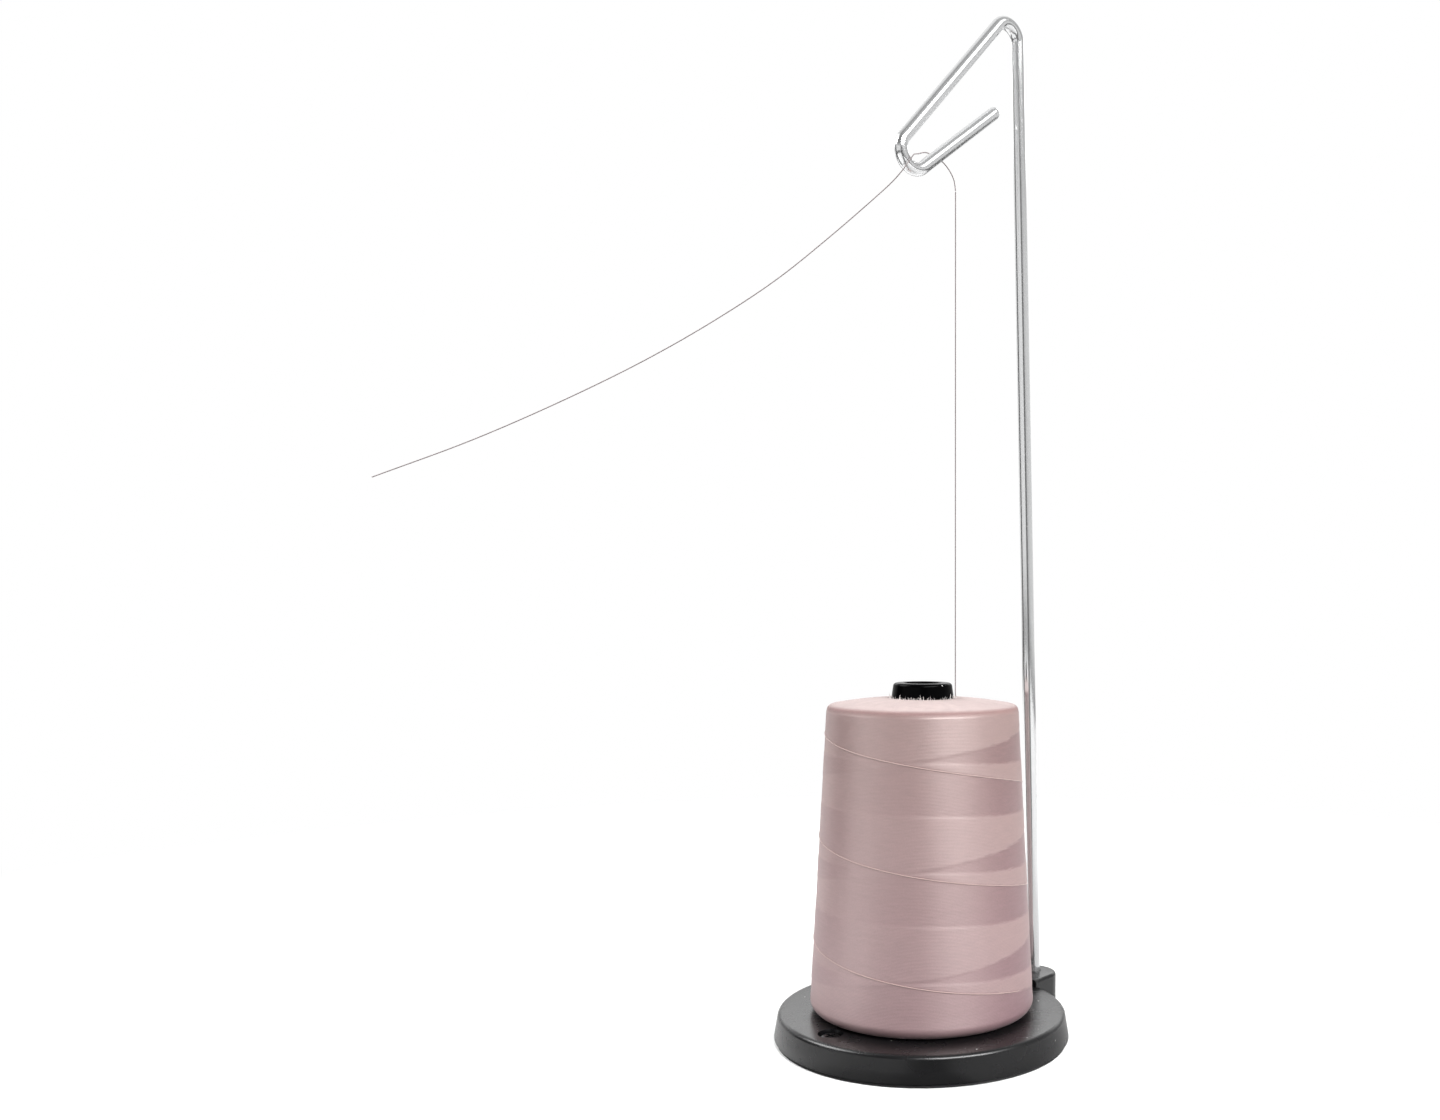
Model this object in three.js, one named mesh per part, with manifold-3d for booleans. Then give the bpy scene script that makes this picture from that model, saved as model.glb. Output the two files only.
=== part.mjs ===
// Thread spool stand: weighted round base, turning cone seat, wound thread cone and hooked wire guide
// Millimetres, +Z up. The origin is the middle of the underside, and the wire guide stands at +X.
import * as THREE from 'three';
import { mergeVertices } from 'three/addons/utils/BufferGeometryUtils.js';
import Module from 'manifold-3d';

const wasm = await Module();
wasm.setup();

const radians = THREE.MathUtils.degToRad;

// Clearances
const seatGap = 0.3;          // between pieces that touch
const runGap = 0.3;           // between pieces that turn or slide on each other
const holeGap = 0.35;         // between a shank and the plain hole that it passes
const past = 1;               // how far a cut runs beyond the face that it opens
const joined = 0.2;           // how far a joined part reaches into its neighbour

// Base
const baseRadius = 48.2;      // at the foot of the side wall
const baseHeight = 9.6;       // floor to the flat top
const wallDraft = 9;          // degrees, narrower towards the top
const rimFillet = 1.6;
const topFlatRadius = baseRadius - 9.7;   // the top is flat to here and falls away to the rim
const rimFall = 0.2;
const shellWall = 2.4;
const shellTop = 2.7;
const padThick = 0.9;
const padInset = 0.7;
const coverThick = 1.3;

// Socket for the wire guide, a rounded tab that stands out of the base
const socketReach = baseRadius + 4;       // axis of its round end
const socketHalf = 8.3;
const socketTop = 11.9;
const socketFillet = 1.2;
const socketRoot = baseRadius - 4.4;      // its inner face, just inside the rim
const socketFlare = 10.5;     // degrees, each side, wider towards the disc
const socketPocket = 9;       // hollow below it, from the axis of its round end inwards

// Cover screws
const screwCircle = baseRadius - 9.2;
const screwTurn = 3;          // degrees round from the line through the wire's foot
const screwShank = 3;
const screwHead = 6.6;
const screwHeadHeight = 1.9;
const screwSunk = 0.7;        // head below the top face
const screwHoleWide = 8;      // counterbore
const screwFloorThick = 1.6;
const screwPostStep = 1.2;    // the cover's post is narrower than the shell's
const screwPost = 11;
const screwEdge = 0.6;        // the head's rounding, down from its top
const screwDome = 1.2;        // and in from its side
const screwTipLift = 0.7;     // the screw's end above the cover's underside
const recessWide = 3.6;
const recessSlot = 0.9;
const recessDeep = 1.1;

// Ballast
const ballastRoom = 0.5;      // between the screw posts and the disc
const ballastRadius = screwCircle - screwPost / 2 - ballastRoom;
const ballastThick = 3.7;
const ballastEdge = 0.5;

// Spindle and its nut
const spindleRadius = 3;
const spindleTop = 104;
const studRadius = 2.5;
const flangeRadius = 6.5;
const flangeThick = 1.5;
const nutFlats = 8;
const nutHeight = 2.3;
const washerThick = 0.6;
const washerWide = 10;

// Cone seat
const thrustThick = 0.8;
const thrustRadius = 6.5;
const seatTop = 60;
const seatWall = 1.8;
const seatLift = 0.4;         // its foot above the cone's foot
const seatChamfer = 1.3;
const seatRoof = 2.34;        // from the seat's slanting side in to the corner of its hollow
const hubRadius = 6.4;
const grooveDeep = 0.6;       // in the spindle, for the retaining ring
const ringThick = 0.8;
const ringWide = 10;
const ringMouth = 4.4;

// Cone core
const coreFootRadius = 21;
const coreLift = 0.5;         // above the base
const coreNeckRadius = 10.2;  // where the nose leaves the winding
const coreNeckHeight = 111.6;
const coreWall = 1.5;
const noseTopRadius = 9.7;
const noseTop = 116.3;
const noseFillet = 1.2;
const noseHole = 6;

// Winding
const windLift = 0.3;         // above the base
const windRadius = 36.5;      // widest, near the bottom
const windCorner = 3.6;
const windShoulderRadius = 31.3;
const windShoulderHeight = 109.4;
const windShoulderRound = 2;
const windTopRise = 1.9;      // from the shoulder to the nose

// Outer turns, laid crosswise over the winding
const yarnThick = 0.8;
const passes = 5;
const stepsPerTurn = 24;
const stepsPerPass = 112;     // four and two thirds turns, so that the passes are a third of a turn apart
const layerSteps = 5;         // over which the thread changes layer at each end of the winding
const yarnSides = 6;
const turnsLead = 6;          // degrees, from the last full station to the free thread
const leadBend = 0.65;        // where the lead to the free thread bends, as a share of its way
const leadRise = 0.2;         // and the share of its rise that it has made there
const layGap = 0.47;          // between crossing turns
const turnsLow = 18;
const turnsHigh = 106;

// Hooked wire guide
const wireThick = 4.4;
const wireSides = 12;
const mastOut = 0.75;         // the wire stands this far beyond the axis of the socket's round end
const mastFoot = socketReach + mastOut;   // from the cone's axis, at the socket's top
const mastLean = 1.88;        // degrees, towards the cone's axis
const mastLength = 323;       // straight, above the socket
const topBendRadius = 5.5;
const topBendTurn = 136.9;
const armPast = 9.45;         // the arm reaches back over the cone's axis by about this much
const armLength = mastFoot + armPast;
const lowBendRadius = 5.7;
const lowBendTurn = 169.8;
const tipLength = 40.1;
const tipIn = 0.033;          // the ball at the tip is smaller than the wire by this
const threadStud = 4;         // its threaded foot
const studProud = 0.2;        // how far a nut stands past the end of its stud
const shoulderDepth = 4.2;    // below the socket's top
const ledgeThick = 1;
const rodWasherWide = 9;
const rodNutFlats = 7;
const rodNutHeight = 2.3;

// Free thread
const threadThick = 0.4;
const threadSides = 8;
const threadFootAngle = 27.31;              // where the free thread leaves the winding's shoulder
const threadFootRadius = windShoulderRadius - 0.35;
const threadFootHeight = windShoulderHeight - 1;
const threadFoot = [
  threadFootRadius * Math.cos(radians(threadFootAngle)),
  threadFootRadius * Math.sin(radians(threadFootAngle)),
  threadFootHeight,
];
const threadUp = [threadFoot, [15.9, 2.35, 279.2]];
const threadAway = [
  [15.88, 2.33, 279.5], [15.4, 2.6, 282.9], [14.0, 2.8, 285.3], [11.4, 3.2, 287.8],
  [8.5, 3.3, 288.9], [5.2, 2.8, 289.2], [2.6, 2.1, 289.0], [0.5, 1.4, 288.3],
  [-2.2, 0.5, 287.1], [-4.6, -0.6, 286.2], [-5.9, -2.0, 285.5], [-7.2, -2.9, 284.6],
  [-9.1, -3.1, 282.3], [-10.8, -2.4, 279.6], [-12.7, 0.2, 276.2], [-16.6, 3.8, 271.3],
  [-28.7, 14.4, 257.4], [-40.7, 24.8, 244.7], [-55.3, 37.5, 231.9], [-72.0, 52.0, 219.2],
  [-91.5, 69.0, 206.4], [-113.5, 88.1, 193.6], [-137.5, 108.9, 181.7],
];

// Heights that follow from the sizes above
const coverLow = padThick + seatGap;
const coverHigh = coverLow + coverThick;
const topUnder = baseHeight - shellTop;
const ballastHigh = topUnder - seatGap;
const ballastLow = ballastHigh - ballastThick;
const flangeLow = baseHeight + seatGap;
const thrustLow = flangeLow + flangeThick + seatGap;
const hubLow = thrustLow + thrustThick + runGap;
const ringLow = seatTop + runGap;
const coreLow = baseHeight + coreLift;
const windLow = baseHeight + windLift;
const coreSlope = (coreFootRadius - coreNeckRadius) / (coreNeckHeight - coreLow);
const windSlope = (windRadius - windShoulderRadius) / (windShoulderHeight - windLow - windCorner);

// Materials
function finish(colour, roughness, metalness) {
  return new THREE.MeshStandardMaterial({ color: colour, roughness, metalness });
}
const blackPlastic = finish(0x0c0c0e, 0.28, 0);
const blackRubber = finish(0x17171a, 0.85, 0);
const zincSteel = finish(0xa9abad, 0.42, 1);
const blackSteel = finish(0x1b1b1d, 0.4, 0.9);
const brightWire = finish(0xd6d7d9, 0.16, 1);
const nylon = finish(0xe6e2d6, 0.5, 0);
const castIron = finish(0x4a4a4c, 0.7, 0.8);
const pinkThread = finish(0xb58d8a, 0.55, 0);

// Closed bodies: shared points are merged and every face is turned outwards
function closed(geometry) {
  const bare = geometry.clone();
  bare.deleteAttribute('normal');
  bare.deleteAttribute('uv');
  const merged = mergeVertices(bare, 1e-4);
  const place = merged.attributes.position;
  const index = merged.index.array;
  const kept = [];
  let volume = 0;
  const [a, b, c] = [new THREE.Vector3(), new THREE.Vector3(), new THREE.Vector3()];
  for (let i = 0; i < index.length; i += 3) {
    const [p, q, r] = [index[i], index[i + 1], index[i + 2]];
    if (p === q || q === r || r === p) continue;
    a.fromBufferAttribute(place, p);
    b.fromBufferAttribute(place, q);
    c.fromBufferAttribute(place, r);
    volume += a.dot(b.clone().cross(c));
    kept.push(p, q, r);
  }
  if (volume < 0) {
    for (let i = 0; i < kept.length; i += 3) {
      [kept[i + 1], kept[i + 2]] = [kept[i + 2], kept[i + 1]];
    }
  }
  merged.setIndex(kept);
  return merged;
}

function toSolid(geometry) {
  const body = closed(geometry);
  return new wasm.Manifold(new wasm.Mesh({
    numProp: 3,
    vertProperties: new Float32Array(body.attributes.position.array),
    triVerts: new Uint32Array(body.index.array),
  }));
}

function fromSolid(solid) {
  const mesh = solid.getMesh();
  const geometry = new THREE.BufferGeometry();
  geometry.setAttribute('position', new THREE.BufferAttribute(new Float32Array(mesh.vertProperties), 3));
  geometry.setIndex(new THREE.BufferAttribute(new Uint32Array(mesh.triVerts), 1));
  geometry.computeVertexNormals();
  return geometry;
}

// Turned bodies from [radius, height] corners that start and end on the axis, or that close on themselves
function turned(profile, segments = 48) {
  const points = profile.map(([radius, height]) => new THREE.Vector2(radius, height));
  return new THREE.LatheGeometry(points, segments).rotateX(Math.PI / 2);
}

function turnedRing(profile, segments = 48) {
  return turned([...profile, profile[0]], segments);
}

function cylinder(radius, low, high, segments = 24) {
  return turned([[0, low], [radius, low], [radius, high], [0, high]], segments);
}

function washer(outer, inner, low, high, segments = 24) {
  return turnedRing([[inner, low], [outer, low], [outer, high], [inner, high]], segments);
}

// Points of a quarter or part circle, in a [radius, height] profile or on a level plane
function arcPoints(centreRadius, centreHeight, size, from, to, count) {
  return Array.from({ length: count + 1 }, (unused, i) => {
    const angle = radians(from + (to - from) * i / count);
    return [centreRadius + size * Math.cos(angle), centreHeight + size * Math.sin(angle)];
  });
}

function upright(shape, low, high, curveSegments = 16) {
  const body = new THREE.ExtrudeGeometry(shape, { depth: high - low, bevelEnabled: false, curveSegments });
  return body.translate(0, 0, low);
}

function polygon(sides, radius) {
  return new THREE.Shape(Array.from({ length: sides }, (unused, i) => {
    const angle = 2 * Math.PI * i / sides;
    return new THREE.Vector2(radius * Math.cos(angle), radius * Math.sin(angle));
  }));
}

function hexagon(flats) {
  return polygon(6, flats / Math.sqrt(3));
}

function nut(flats, bore, low, high) {
  const shape = hexagon(flats);
  shape.holes.push(new THREE.Path().absarc(0, 0, bore, 0, 2 * Math.PI, true));
  return upright(shape, low, high, 12);
}

// A path through given stations, so that a swept section is set at each of them
class StationCurve extends THREE.Curve {
  constructor(stations) {
    super();
    this.stations = stations;
  }

  getPoint(t, target = new THREE.Vector3()) {
    const last = this.stations.length - 1;
    const along = THREE.MathUtils.clamp(t, 0, 1) * last;
    const from = Math.min(Math.floor(along), last - 1);
    return target.copy(this.stations[from]).lerp(this.stations[from + 1], along - from);
  }

  getUtoTmapping(u) {
    return u;
  }
}

function sweep(stations, thick, sides) {
  const path = { steps: stations.length - 1, bevelEnabled: false, extrudePath: new StationCurve(stations) };
  return new THREE.ExtrudeGeometry(polygon(sides, thick / 2), path);
}

// Outline of the base with its socket tab, drawn in by an inset
function socketTab(inset, root) {
  const half = socketHalf - inset;
  const flare = radians(socketFlare);
  const rootHalf = half / Math.cos(flare) + (socketReach - root) * Math.tan(flare);
  const end = arcPoints(socketReach, 0, half, socketFlare - 90, 90 - socketFlare, 24);
  const corners = [[root, -rootHalf], ...end, [root, rootHalf]];
  return new THREE.Shape(corners.map(([x, y]) => new THREE.Vector2(x, y)));
}

function footprint(inset, low, high) {
  const disc = cylinder(baseRadius - inset, low, high, 64);
  const tab = upright(socketTab(inset, 0), low, high);
  return toSolid(disc).add(toSolid(tab));
}

// Stands a body, made round the Z axis with its zero at the socket's top, on the leaning mast
function alongMast(geometry) {
  return geometry.rotateY(-radians(mastLean)).translate(mastFoot, 0, socketTop);
}

// Base shell: turned disc, socket tab, hollow underside, screw posts and bores
const shoulderLow = -shoulderDepth;
const ledgeLow = shoulderLow - seatGap - ledgeThick;
const screwPlaces = [180 + screwTurn, screwTurn];
const screwHeadTop = baseHeight - screwSunk;
const screwHeadLow = screwHeadTop - screwHeadHeight;
const screwFloor = screwHeadLow - seatGap;
const postLow = screwFloor - screwFloorThick;

function screwPlace(angle) {
  return [screwCircle * Math.cos(radians(angle)), screwCircle * Math.sin(radians(angle))];
}

function wallRadius(height) {
  return baseRadius - (height - coverLow) * Math.tan(radians(wallDraft));
}

function makeDisc() {
  const rimHigh = baseHeight - rimFall;
  const rimCentre = rimHigh - rimFillet;
  const rimRadius = wallRadius(rimCentre) - rimFillet;
  return toSolid(turned([
    [0, coverLow], [wallRadius(coverLow), coverLow],
    ...arcPoints(rimRadius, rimCentre, rimFillet, 0, 90, 6),
    [(topFlatRadius + rimRadius) / 2, baseHeight - rimFall / 3],
    [topFlatRadius, baseHeight], [0, baseHeight],
  ], 72));
}

function makeTab() {
  const bevelled = {
    depth: socketTop - coverLow - socketFillet,
    bevelEnabled: true,
    bevelThickness: socketFillet,
    bevelSize: socketFillet,
    bevelOffset: -socketFillet,
    bevelSegments: 4,
  };
  const tab = new THREE.ExtrudeGeometry(socketTab(0, socketRoot), bevelled).translate(0, 0, coverLow);
  const below = cylinder(2 * baseRadius, coverLow - 2 * socketFillet, coverLow);
  return toSolid(tab).subtract(toSolid(below));
}

function makeHollow() {
  const under = turned([
    [0, coverLow - past], [baseRadius - shellWall, coverLow - past],
    [baseRadius - shellWall, coverHigh + seatGap],
    [wallRadius(topUnder) - shellWall, topUnder], [0, topUnder],
  ]);
  const underTab = upright(socketTab(shellWall, ballastRadius), coverLow - past, topUnder);
  return toSolid(under).add(toSolid(underTab));
}

function makeShell() {
  let shell = makeDisc().add(makeTab()).subtract(makeHollow());
  const ledge = socketTab(shellWall - joined, socketReach - socketPocket);
  shell = shell.add(toSolid(upright(ledge, socketTop + ledgeLow, topUnder + joined)));
  for (const angle of screwPlaces) {
    const [x, y] = screwPlace(angle);
    shell = shell.add(toSolid(cylinder(screwPost / 2, postLow, topUnder + joined).translate(x, y, 0)));
  }
  for (const angle of screwPlaces) {
    const [x, y] = screwPlace(angle);
    const wide = cylinder(screwHoleWide / 2, screwFloor, baseHeight + past, 32);
    const narrow = cylinder(screwShank / 2 + holeGap, postLow - past, screwFloor + joined, 16);
    shell = shell.subtract(toSolid(wide.translate(x, y, 0))).subtract(toSolid(narrow.translate(x, y, 0)));
  }
  const spindleBore = cylinder(studRadius + holeGap, topUnder - past, baseHeight + past);
  const wireBore = cylinder(wireThick / 2 + seatGap, shoulderLow - seatGap, 2 * past);
  const studBore = cylinder(threadStud / 2 + holeGap, ledgeLow - 3 * past, shoulderLow);
  return shell.subtract(toSolid(spindleBore)).subtract(toSolid(alongMast(wireBore)))
    .subtract(toSolid(alongMast(studBore)));
}

// Bottom cover with its screw posts
const screwEnd = coverLow + screwTipLift;

function makeCover() {
  let cover = toSolid(cylinder(baseRadius - shellWall - seatGap, coverLow, coverHigh, 48));
  cover = cover.add(toSolid(upright(socketTab(shellWall + seatGap, 0), coverLow, coverHigh)));
  for (const angle of screwPlaces) {
    const [x, y] = screwPlace(angle);
    const post = cylinder(screwPost / 2 - screwPostStep, coverHigh - joined, postLow - seatGap);
    cover = cover.add(toSolid(post.translate(x, y, 0)));
  }
  for (const angle of screwPlaces) {
    const [x, y] = screwPlace(angle);
    const bite = cylinder(screwShank / 2 + seatGap, screwEnd - seatGap, postLow + past, 24);
    cover = cover.subtract(toSolid(bite.translate(x, y, 0)));
  }
  return cover;
}

// Cover screw with a cross recess in its low round head
function makeScrew() {
  const head = turned([
    [0, screwHeadLow], [screwHead / 2, screwHeadLow], [screwHead / 2, screwHeadTop - screwEdge],
    [screwHead / 2 - screwDome / 2, screwHeadTop - screwEdge / 6],
    [screwHead / 2 - screwDome, screwHeadTop], [0, screwHeadTop],
  ], 24);
  const shank = cylinder(screwShank / 2, screwEnd, screwHeadLow + joined, 16);
  const slot = new THREE.BoxGeometry(recessWide, recessSlot, recessDeep + past);
  slot.translate(0, 0, screwHeadTop + (past - recessDeep) / 2);
  const cross = toSolid(slot).add(toSolid(slot.clone().rotateZ(Math.PI / 2)));
  return toSolid(head).add(toSolid(shank)).subtract(cross);
}

// Ballast disc with the spindle nut's recess in its underside
const nutLow = coverHigh + seatGap + studProud;
const nutHigh = nutLow + nutHeight;
const lockLow = nutHigh + seatGap;
const lockHigh = lockLow + washerThick;
const recessHigh = lockHigh + seatGap;

function makeBallast() {
  const edge = ballastEdge;
  const disc = turned([
    [0, ballastLow], [ballastRadius - edge, ballastLow], [ballastRadius, ballastLow + edge],
    [ballastRadius, ballastHigh - edge], [ballastRadius - edge, ballastHigh], [0, ballastHigh],
  ], 40);
  const recess = cylinder(washerWide / 2 + 2 * seatGap, ballastLow - past, recessHigh);
  const bore = cylinder(studRadius + holeGap, ballastLow - past, ballastHigh + past);
  return toSolid(disc).subtract(toSolid(recess)).subtract(toSolid(bore));
}

// Spindle: threaded stud, flange, shaft with the retaining ring's groove, domed top
const studLow = nutLow + studProud;
const studPoint = 0.4;

function makeSpindle() {
  const grooveRadius = spindleRadius - grooveDeep;
  const grooveLow = ringLow - seatGap / 2;
  const grooveHigh = ringLow + ringThick + seatGap / 2;
  return turned([
    [0, studLow], [studRadius - studPoint, studLow], [studRadius, studLow + studPoint],
    [studRadius, flangeLow], [flangeRadius, flangeLow],
    [flangeRadius, flangeLow + flangeThick], [spindleRadius, flangeLow + flangeThick],
    [spindleRadius, grooveLow], [grooveRadius, grooveLow],
    [grooveRadius, grooveHigh], [spindleRadius, grooveHigh],
    ...arcPoints(0, spindleTop - spindleRadius, spindleRadius, 0, 90, 5),
  ], 24);
}

function coreRadius(height) {
  return coreFootRadius - coreSlope * (height - coreLow);
}

// Cone seat: an open taper that the cone drops over, with a hub that turns on the spindle
function makeSeat() {
  const outer = (height) => coreRadius(height) - coreWall - runGap;
  const low = coreLow + seatLift;
  return turnedRing([
    [outer(low), low], [outer(seatTop - seatChamfer), seatTop - seatChamfer],
    [outer(seatTop) - seatChamfer, seatTop],
    [spindleRadius + runGap, seatTop], [spindleRadius + runGap, hubLow], [hubRadius, hubLow],
    [hubRadius, seatTop - seatWall], [outer(seatTop) - seatRoof, seatTop - seatWall],
    [outer(low) - seatWall, low],
  ], 40);
}

// Retaining ring: an open ring that sits in the spindle's groove
function makeRing() {
  const inner = spindleRadius - grooveDeep + seatGap;
  const outer = ringWide / 2;
  const mouth = Math.asin(ringMouth / 2 / inner);
  const mouthOut = Math.asin(ringMouth / 2 / outer);
  const shape = new THREE.Shape();
  shape.absarc(0, 0, outer, mouthOut, 2 * Math.PI - mouthOut, false);
  shape.absarc(0, 0, inner, 2 * Math.PI - mouth, mouth, true);
  shape.closePath();
  return upright(shape, ringLow, ringLow + ringThick, 24);
}

// Cone core: a thin taper, open below, with a rounded nose that has the spindle's hole
function makeCore() {
  const inner = (height) => coreRadius(height) - coreWall;
  const deck = noseTop - coreWall;
  return turnedRing([
    [inner(coreLow), coreLow], [coreRadius(coreLow), coreLow], [coreNeckRadius, coreNeckHeight],
    ...arcPoints(noseTopRadius - noseFillet, noseTop - noseFillet, noseFillet, 0, 90, 5),
    [noseHole, noseTop], [noseHole, deck], [noseTopRadius - coreWall, deck],
    [inner(coreNeckHeight), coreNeckHeight],
  ], 48);
}

// Winding: the outer turns lie on it, so its side is drawn in by their depth
const facetRoom = 0.35;       // the turns' straight facets dip inwards by about this much
const sideIn = 2 * yarnThick + layGap + seatGap + facetRoom;

function windRadiusAt(height) {
  const full = windRadius - windSlope * (height - windLow - windCorner);
  return Math.min(full, windRadius);
}

function makeWinding() {
  const over = (height) => coreRadius(height) + seatGap;
  const low = windLow;
  const corner = windCorner - sideIn;
  const side = windRadius - sideIn;
  const shoulder = windShoulderRadius - sideIn;
  const round = windShoulderRound;
  const neck = windShoulderHeight + windTopRise;
  return turnedRing([
    [over(low), low],
    ...arcPoints(side - corner, low + corner, corner, -90, 0, 6),
    ...arcPoints(shoulder - round, windShoulderHeight - round, round, 0, 90, 4),
    [over(neck), neck],
  ], 48);
}

// Outer turns: one unbroken thread laid up and down the winding,
// with the rising passes inside and the falling passes outside
function turnStations() {
  const stations = [];
  const depthIn = yarnThick * 1.5 + layGap;
  const depthOut = yarnThick / 2;
  const total = passes * stepsPerPass;
  const foot = new THREE.Vector3(...threadUp[0]);
  const rise = new THREE.Vector3(...threadUp[1]).sub(foot).normalize();
  const endAngle = Math.atan2(foot.y, foot.x) - radians(turnsLead);
  for (let i = 0; i <= total; i += 1) {
    const pass = Math.min(Math.floor(i / stepsPerPass), passes - 1);
    const along = i - pass * stepsPerPass;
    const rising = pass % 2 === 0;
    const share = rising ? along / stepsPerPass : 1 - along / stepsPerPass;
    const entered = pass === 0 ? 1 : Math.min(0.5 + along / layerSteps, 1);
    const leaving = pass === passes - 1 ? 1 : Math.min(0.5 + (stepsPerPass - along) / layerSteps, 1);
    const settled = Math.min(entered, leaving);
    const [own, other] = rising ? [depthIn, depthOut] : [depthOut, depthIn];
    const depth = THREE.MathUtils.lerp(other, own, settled);
    const angle = endAngle + 2 * Math.PI * (i - total) / stepsPerTurn;
    const height = THREE.MathUtils.lerp(turnsLow, turnsHigh, share);
    const radius = windRadiusAt(height) - depth;
    stations.push(new THREE.Vector3(radius * Math.cos(angle), radius * Math.sin(angle), height));
  }
  const last = stations[stations.length - 1];
  const end = foot.clone().addScaledVector(rise, -seatGap);
  const below = end.clone().addScaledVector(rise, -1.5 * yarnThick);
  const bent = new THREE.Vector3().lerpVectors(last, below, leadBend);
  bent.z = THREE.MathUtils.lerp(last.z, below.z, leadRise);
  stations.push(bent, below, end);
  return stations;
}

// Least gap between stretches of a tube that are more than a quarter turn apart along it
function leastGap(stations, thick) {
  const fine = [];
  for (let i = 0; i < stations.length - 1; i += 1) {
    for (let k = 0; k < 6; k += 1) fine.push(stations[i].clone().lerp(stations[i + 1], k / 6));
  }
  const apart = 6 * stepsPerTurn / 4;
  let least = Infinity;
  for (let i = 0; i < fine.length; i += 1) {
    for (let j = i + apart; j < fine.length; j += 1) {
      if (Math.abs(fine[i].z - fine[j].z) > 4 * thick) continue;
      least = Math.min(least, fine[i].distanceTo(fine[j]));
    }
  }
  return least - thick;
}

// Hooked wire guide: mast, top bend, slanting arm, low bend and tip, as a bender makes them
function hookStations() {
  const heading = { angle: 90 + mastLean, x: mastFoot, z: socketTop };
  const stations = [];
  const mark = () => stations.push(new THREE.Vector3(heading.x, 0, heading.z));
  const forward = (length, count) => {
    for (let i = 0; i < count; i += 1) {
      heading.x += length / count * Math.cos(radians(heading.angle));
      heading.z += length / count * Math.sin(radians(heading.angle));
      mark();
    }
  };
  const bend = (radius, turn, count) => {
    const step = turn / count;
    const chord = 2 * radius * Math.sin(radians(step / 2));
    for (let i = 0; i < count; i += 1) {
      heading.angle += step / 2;
      heading.x += chord * Math.cos(radians(heading.angle));
      heading.z += chord * Math.sin(radians(heading.angle));
      heading.angle += step / 2;
      mark();
    }
  };
  heading.x += shoulderDepth * Math.sin(radians(mastLean));
  heading.z -= shoulderDepth * Math.cos(radians(mastLean));
  mark();
  forward(shoulderDepth + mastLength, 4);
  bend(topBendRadius, topBendTurn, 10);
  forward(armLength, 2);
  bend(lowBendRadius, lowBendTurn, 12);
  forward(tipLength, 2);
  return stations;
}

const rodWasherHigh = ledgeLow - seatGap;
const rodWasherLow = rodWasherHigh - washerThick;
const rodNutHigh = rodWasherLow - seatGap;
const rodNutLow = rodNutHigh - rodNutHeight;

function makeHook() {
  const stations = hookStations();
  const tip = stations[stations.length - 1];
  const wire = toSolid(sweep(stations, wireThick, wireSides));
  const ball = new THREE.SphereGeometry(wireThick / 2 - tipIn, 16, 12).translate(tip.x, tip.y, tip.z);
  const stud = cylinder(threadStud / 2, rodNutLow + studProud, shoulderLow + joined);
  return wire.add(toSolid(ball)).add(toSolid(alongMast(stud)));
}

// Thread route through chosen points, with as many steps between each two, so that bends are finer
function threadStations(points, count) {
  const route = points.map((point) => new THREE.Vector3(...point));
  return new THREE.CatmullRomCurve3(route, false, 'centripetal').getPoints(count);
}

const stand = new THREE.Group();

function place(name, geometry, material) {
  const mesh = new THREE.Mesh(geometry, material);
  mesh.name = name;
  stand.add(mesh);
  return mesh;
}

place('non_slip_pad', fromSolid(footprint(padInset, 0, padThick)), blackRubber);
place('bottom_cover', fromSolid(makeCover()), blackPlastic);
place('ballast_disc', fromSolid(makeBallast()), castIron);
place('base_shell', fromSolid(makeShell()), blackPlastic);
const screw = fromSolid(makeScrew());
screwPlaces.forEach((angle, i) => {
  const [x, y] = screwPlace(angle);
  place(`cover_screw_${i + 1}`, screw, blackSteel).position.set(x, y, 0);
});
place('spindle_nut', nut(nutFlats, studRadius + seatGap, nutLow, nutHigh), zincSteel);
place('spindle_lock_washer', washer(washerWide / 2, studRadius + seatGap, lockLow, lockHigh), zincSteel);
place('spindle', makeSpindle(), zincSteel);
const thrustWasher = washer(thrustRadius, spindleRadius + runGap, thrustLow, thrustLow + thrustThick);
place('thrust_washer', thrustWasher, nylon);
place('cone_seat', makeSeat(), blackPlastic);
place('retaining_ring', makeRing(), blackSteel);
place('cone_core', makeCore(), blackPlastic);
place('thread_winding', makeWinding(), pinkThread);
const turns = turnStations();
console.log(`outer turns: least gap to themselves ${leastGap(turns, yarnThick).toFixed(2)} mm`);
place('outer_turns', sweep(turns, yarnThick, yarnSides), pinkThread);
place('hooked_wire', fromSolid(makeHook()), brightWire);
const rodWasher = washer(rodWasherWide / 2, threadStud / 2 + seatGap, rodWasherLow, rodWasherHigh);
place('wire_washer', alongMast(rodWasher), zincSteel);
place('wire_nut', alongMast(nut(rodNutFlats, threadStud / 2 + seatGap, rodNutLow, rodNutHigh)), zincSteel);
place('thread_up', sweep(threadStations(threadUp, 2), threadThick, threadSides), pinkThread);
place('thread_away', sweep(threadStations(threadAway, 66), threadThick, threadSides), pinkThread);

export default stand;
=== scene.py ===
"""Thread spool stand: surfaces, finishes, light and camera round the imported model."""

import math

import bmesh
import bpy
import numpy as np
from bpy.props import FloatProperty, FloatVectorProperty, IntProperty, PointerProperty
from mathutils import Matrix, Vector


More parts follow.
